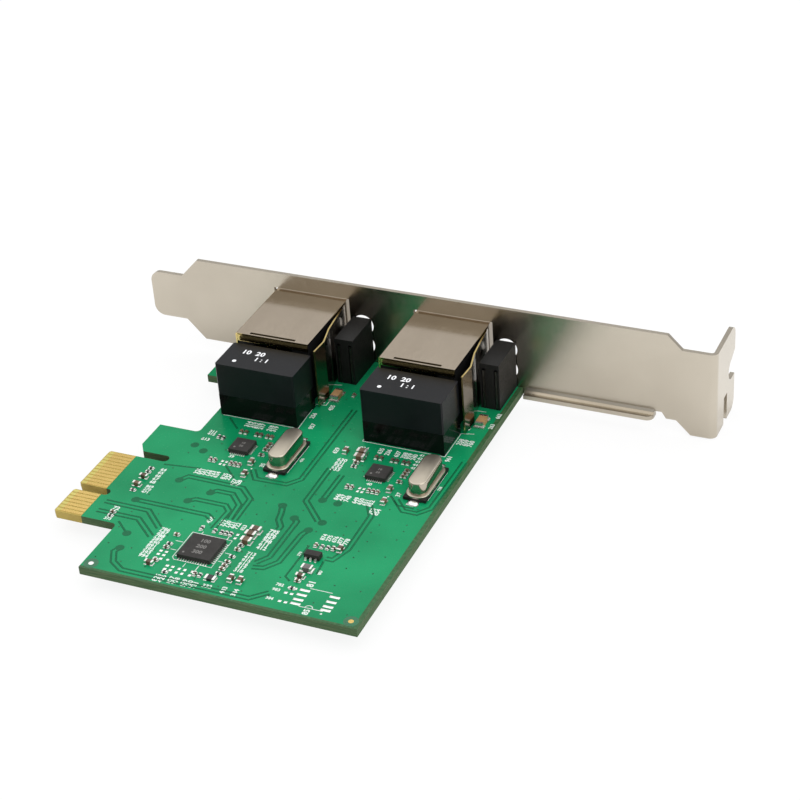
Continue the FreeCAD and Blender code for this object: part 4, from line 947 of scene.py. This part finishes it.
def makeCamera():
    # aim in metres; across, up and away in millimetres; the focal length as a share of the sensor's width
    view = {"azimuth": 25.682, "elevation": 32.455, "roll": -4.297, "aim": (0.0537, 0.0234, 0.005),
            "across": -2.054, "up": -8.415, "away": 372.79, "focal": 2.5432, "sensor": 36.0,
            "clip": (0.01, 20.0)}
    azimuth, elevation, roll = (math.radians(view[key]) for key in ("azimuth", "elevation", "roll"))
    ahead = Vector((-math.sin(azimuth) * math.cos(elevation), math.cos(azimuth) * math.cos(elevation),
                    -math.sin(elevation)))
    level = ahead.cross(Vector((0, 0, 1))).normalized()
    over = level.cross(ahead)
    right = math.cos(roll) * level + math.sin(roll) * over
    up = -math.sin(roll) * level + math.cos(roll) * over
    aside = view["across"] * right + view["up"] * up + view["away"] * ahead
    data = bpy.data.cameras.new("camera")
    data.sensor_width = view["sensor"]
    data.lens = view["focal"] * view["sensor"]
    data.clip_start, data.clip_end = view["clip"]
    camera = bpy.data.objects.new("camera", data)
    bpy.context.scene.collection.objects.link(camera)
    turn = Matrix((right, up, -ahead)).transposed()
    camera.matrix_world = Matrix.Translation(Vector(view["aim"]) - mm * aside) @ turn.to_4x4()
    bpy.context.scene.camera = camera


def makeStage():
    # a pale floor that catches a faint shadow
    look = {"tone": 0.9, "roughness": 0.9, "specular": 0.1, "middle": (0.05, 0.03), "size": 6.0,
            "drop": 0.0002, "shadowShare": 0.12}
    deselectAll()
    bpy.ops.mesh.primitive_plane_add(size=look["size"], location=(*look["middle"], cadLow.z - look["drop"]))
    floor = bpy.context.active_object
    floor.name = "studio_floor"
    material, tree, shader = newMaterial("paleFloor")
    setShader(shader, {"Base Color": (*grey(look["tone"]), 1), "Roughness": look["roughness"],
                       "Specular IOR Level": look["specular"]})
    rays = addNode(tree, "ShaderNodeLightPath")
    glow = addNode(tree, "ShaderNodeEmission", in_Color=(1, 1, 1, 1), in_Strength=1.0)
    mixer = addNode(tree, "ShaderNodeMixShader")
    share = mathNode(tree, "MULTIPLY", rays.outputs["Is Camera Ray"], 1.0 - look["shadowShare"])
    tree.links.new(share, mixer.inputs[0])
    tree.links.new(shader.outputs[0], mixer.inputs[1])
    tree.links.new(glow.outputs[0], mixer.inputs[2])
    tree.links.new(mixer.outputs[0], tree.nodes["Material Output"].inputs["Surface"])
    floor.data.materials.append(material)


def makeWorld():
    # white behind the card and through its lenses, softer where it lights the card
    look = {"lighting": 0.62, "seen": 1.0}
    world = bpy.data.worlds.new("studio")
    bpy.context.scene.world = world
    world.use_nodes = True
    tree = world.node_tree
    background = tree.nodes["Background"]
    background.inputs["Color"].default_value = (1, 1, 1, 1)
    rays = addNode(tree, "ShaderNodeLightPath")
    seen = mathNode(tree, "MAXIMUM", rays.outputs["Is Camera Ray"], rays.outputs["Is Transmission Ray"])
    strength = spread(tree, seen, (look["lighting"], look["seen"]), wholeSpan)
    tree.links.new(strength, background.inputs["Strength"])


def addLamp(name, place, size, power, aim=(0.05, 0.03, 0)):
    data = bpy.data.lights.new(name, "AREA")
    data.shape = "RECTANGLE"
    data.size, data.size_y = size
    data.energy = power
    lamp = bpy.data.objects.new(name, data)
    bpy.context.scene.collection.objects.link(lamp)
    lamp.location = place
    lamp.rotation_mode = "QUATERNION"
    lamp.rotation_quaternion = (Vector(aim) - Vector(place)).to_track_quat("-Z", "Y")


print("camera, stage and light")
makeCamera()
makeStage()
makeWorld()
addLamp("overheadSoftbox", (0.05, 0.10, 0.55), (1.2, 1.0), 4.3)
addLamp("rightSoftbox", (0.55, -0.15, 0.30), (0.55, 0.55), 1.2)
bpy.context.scene.view_settings.view_transform = "Standard"
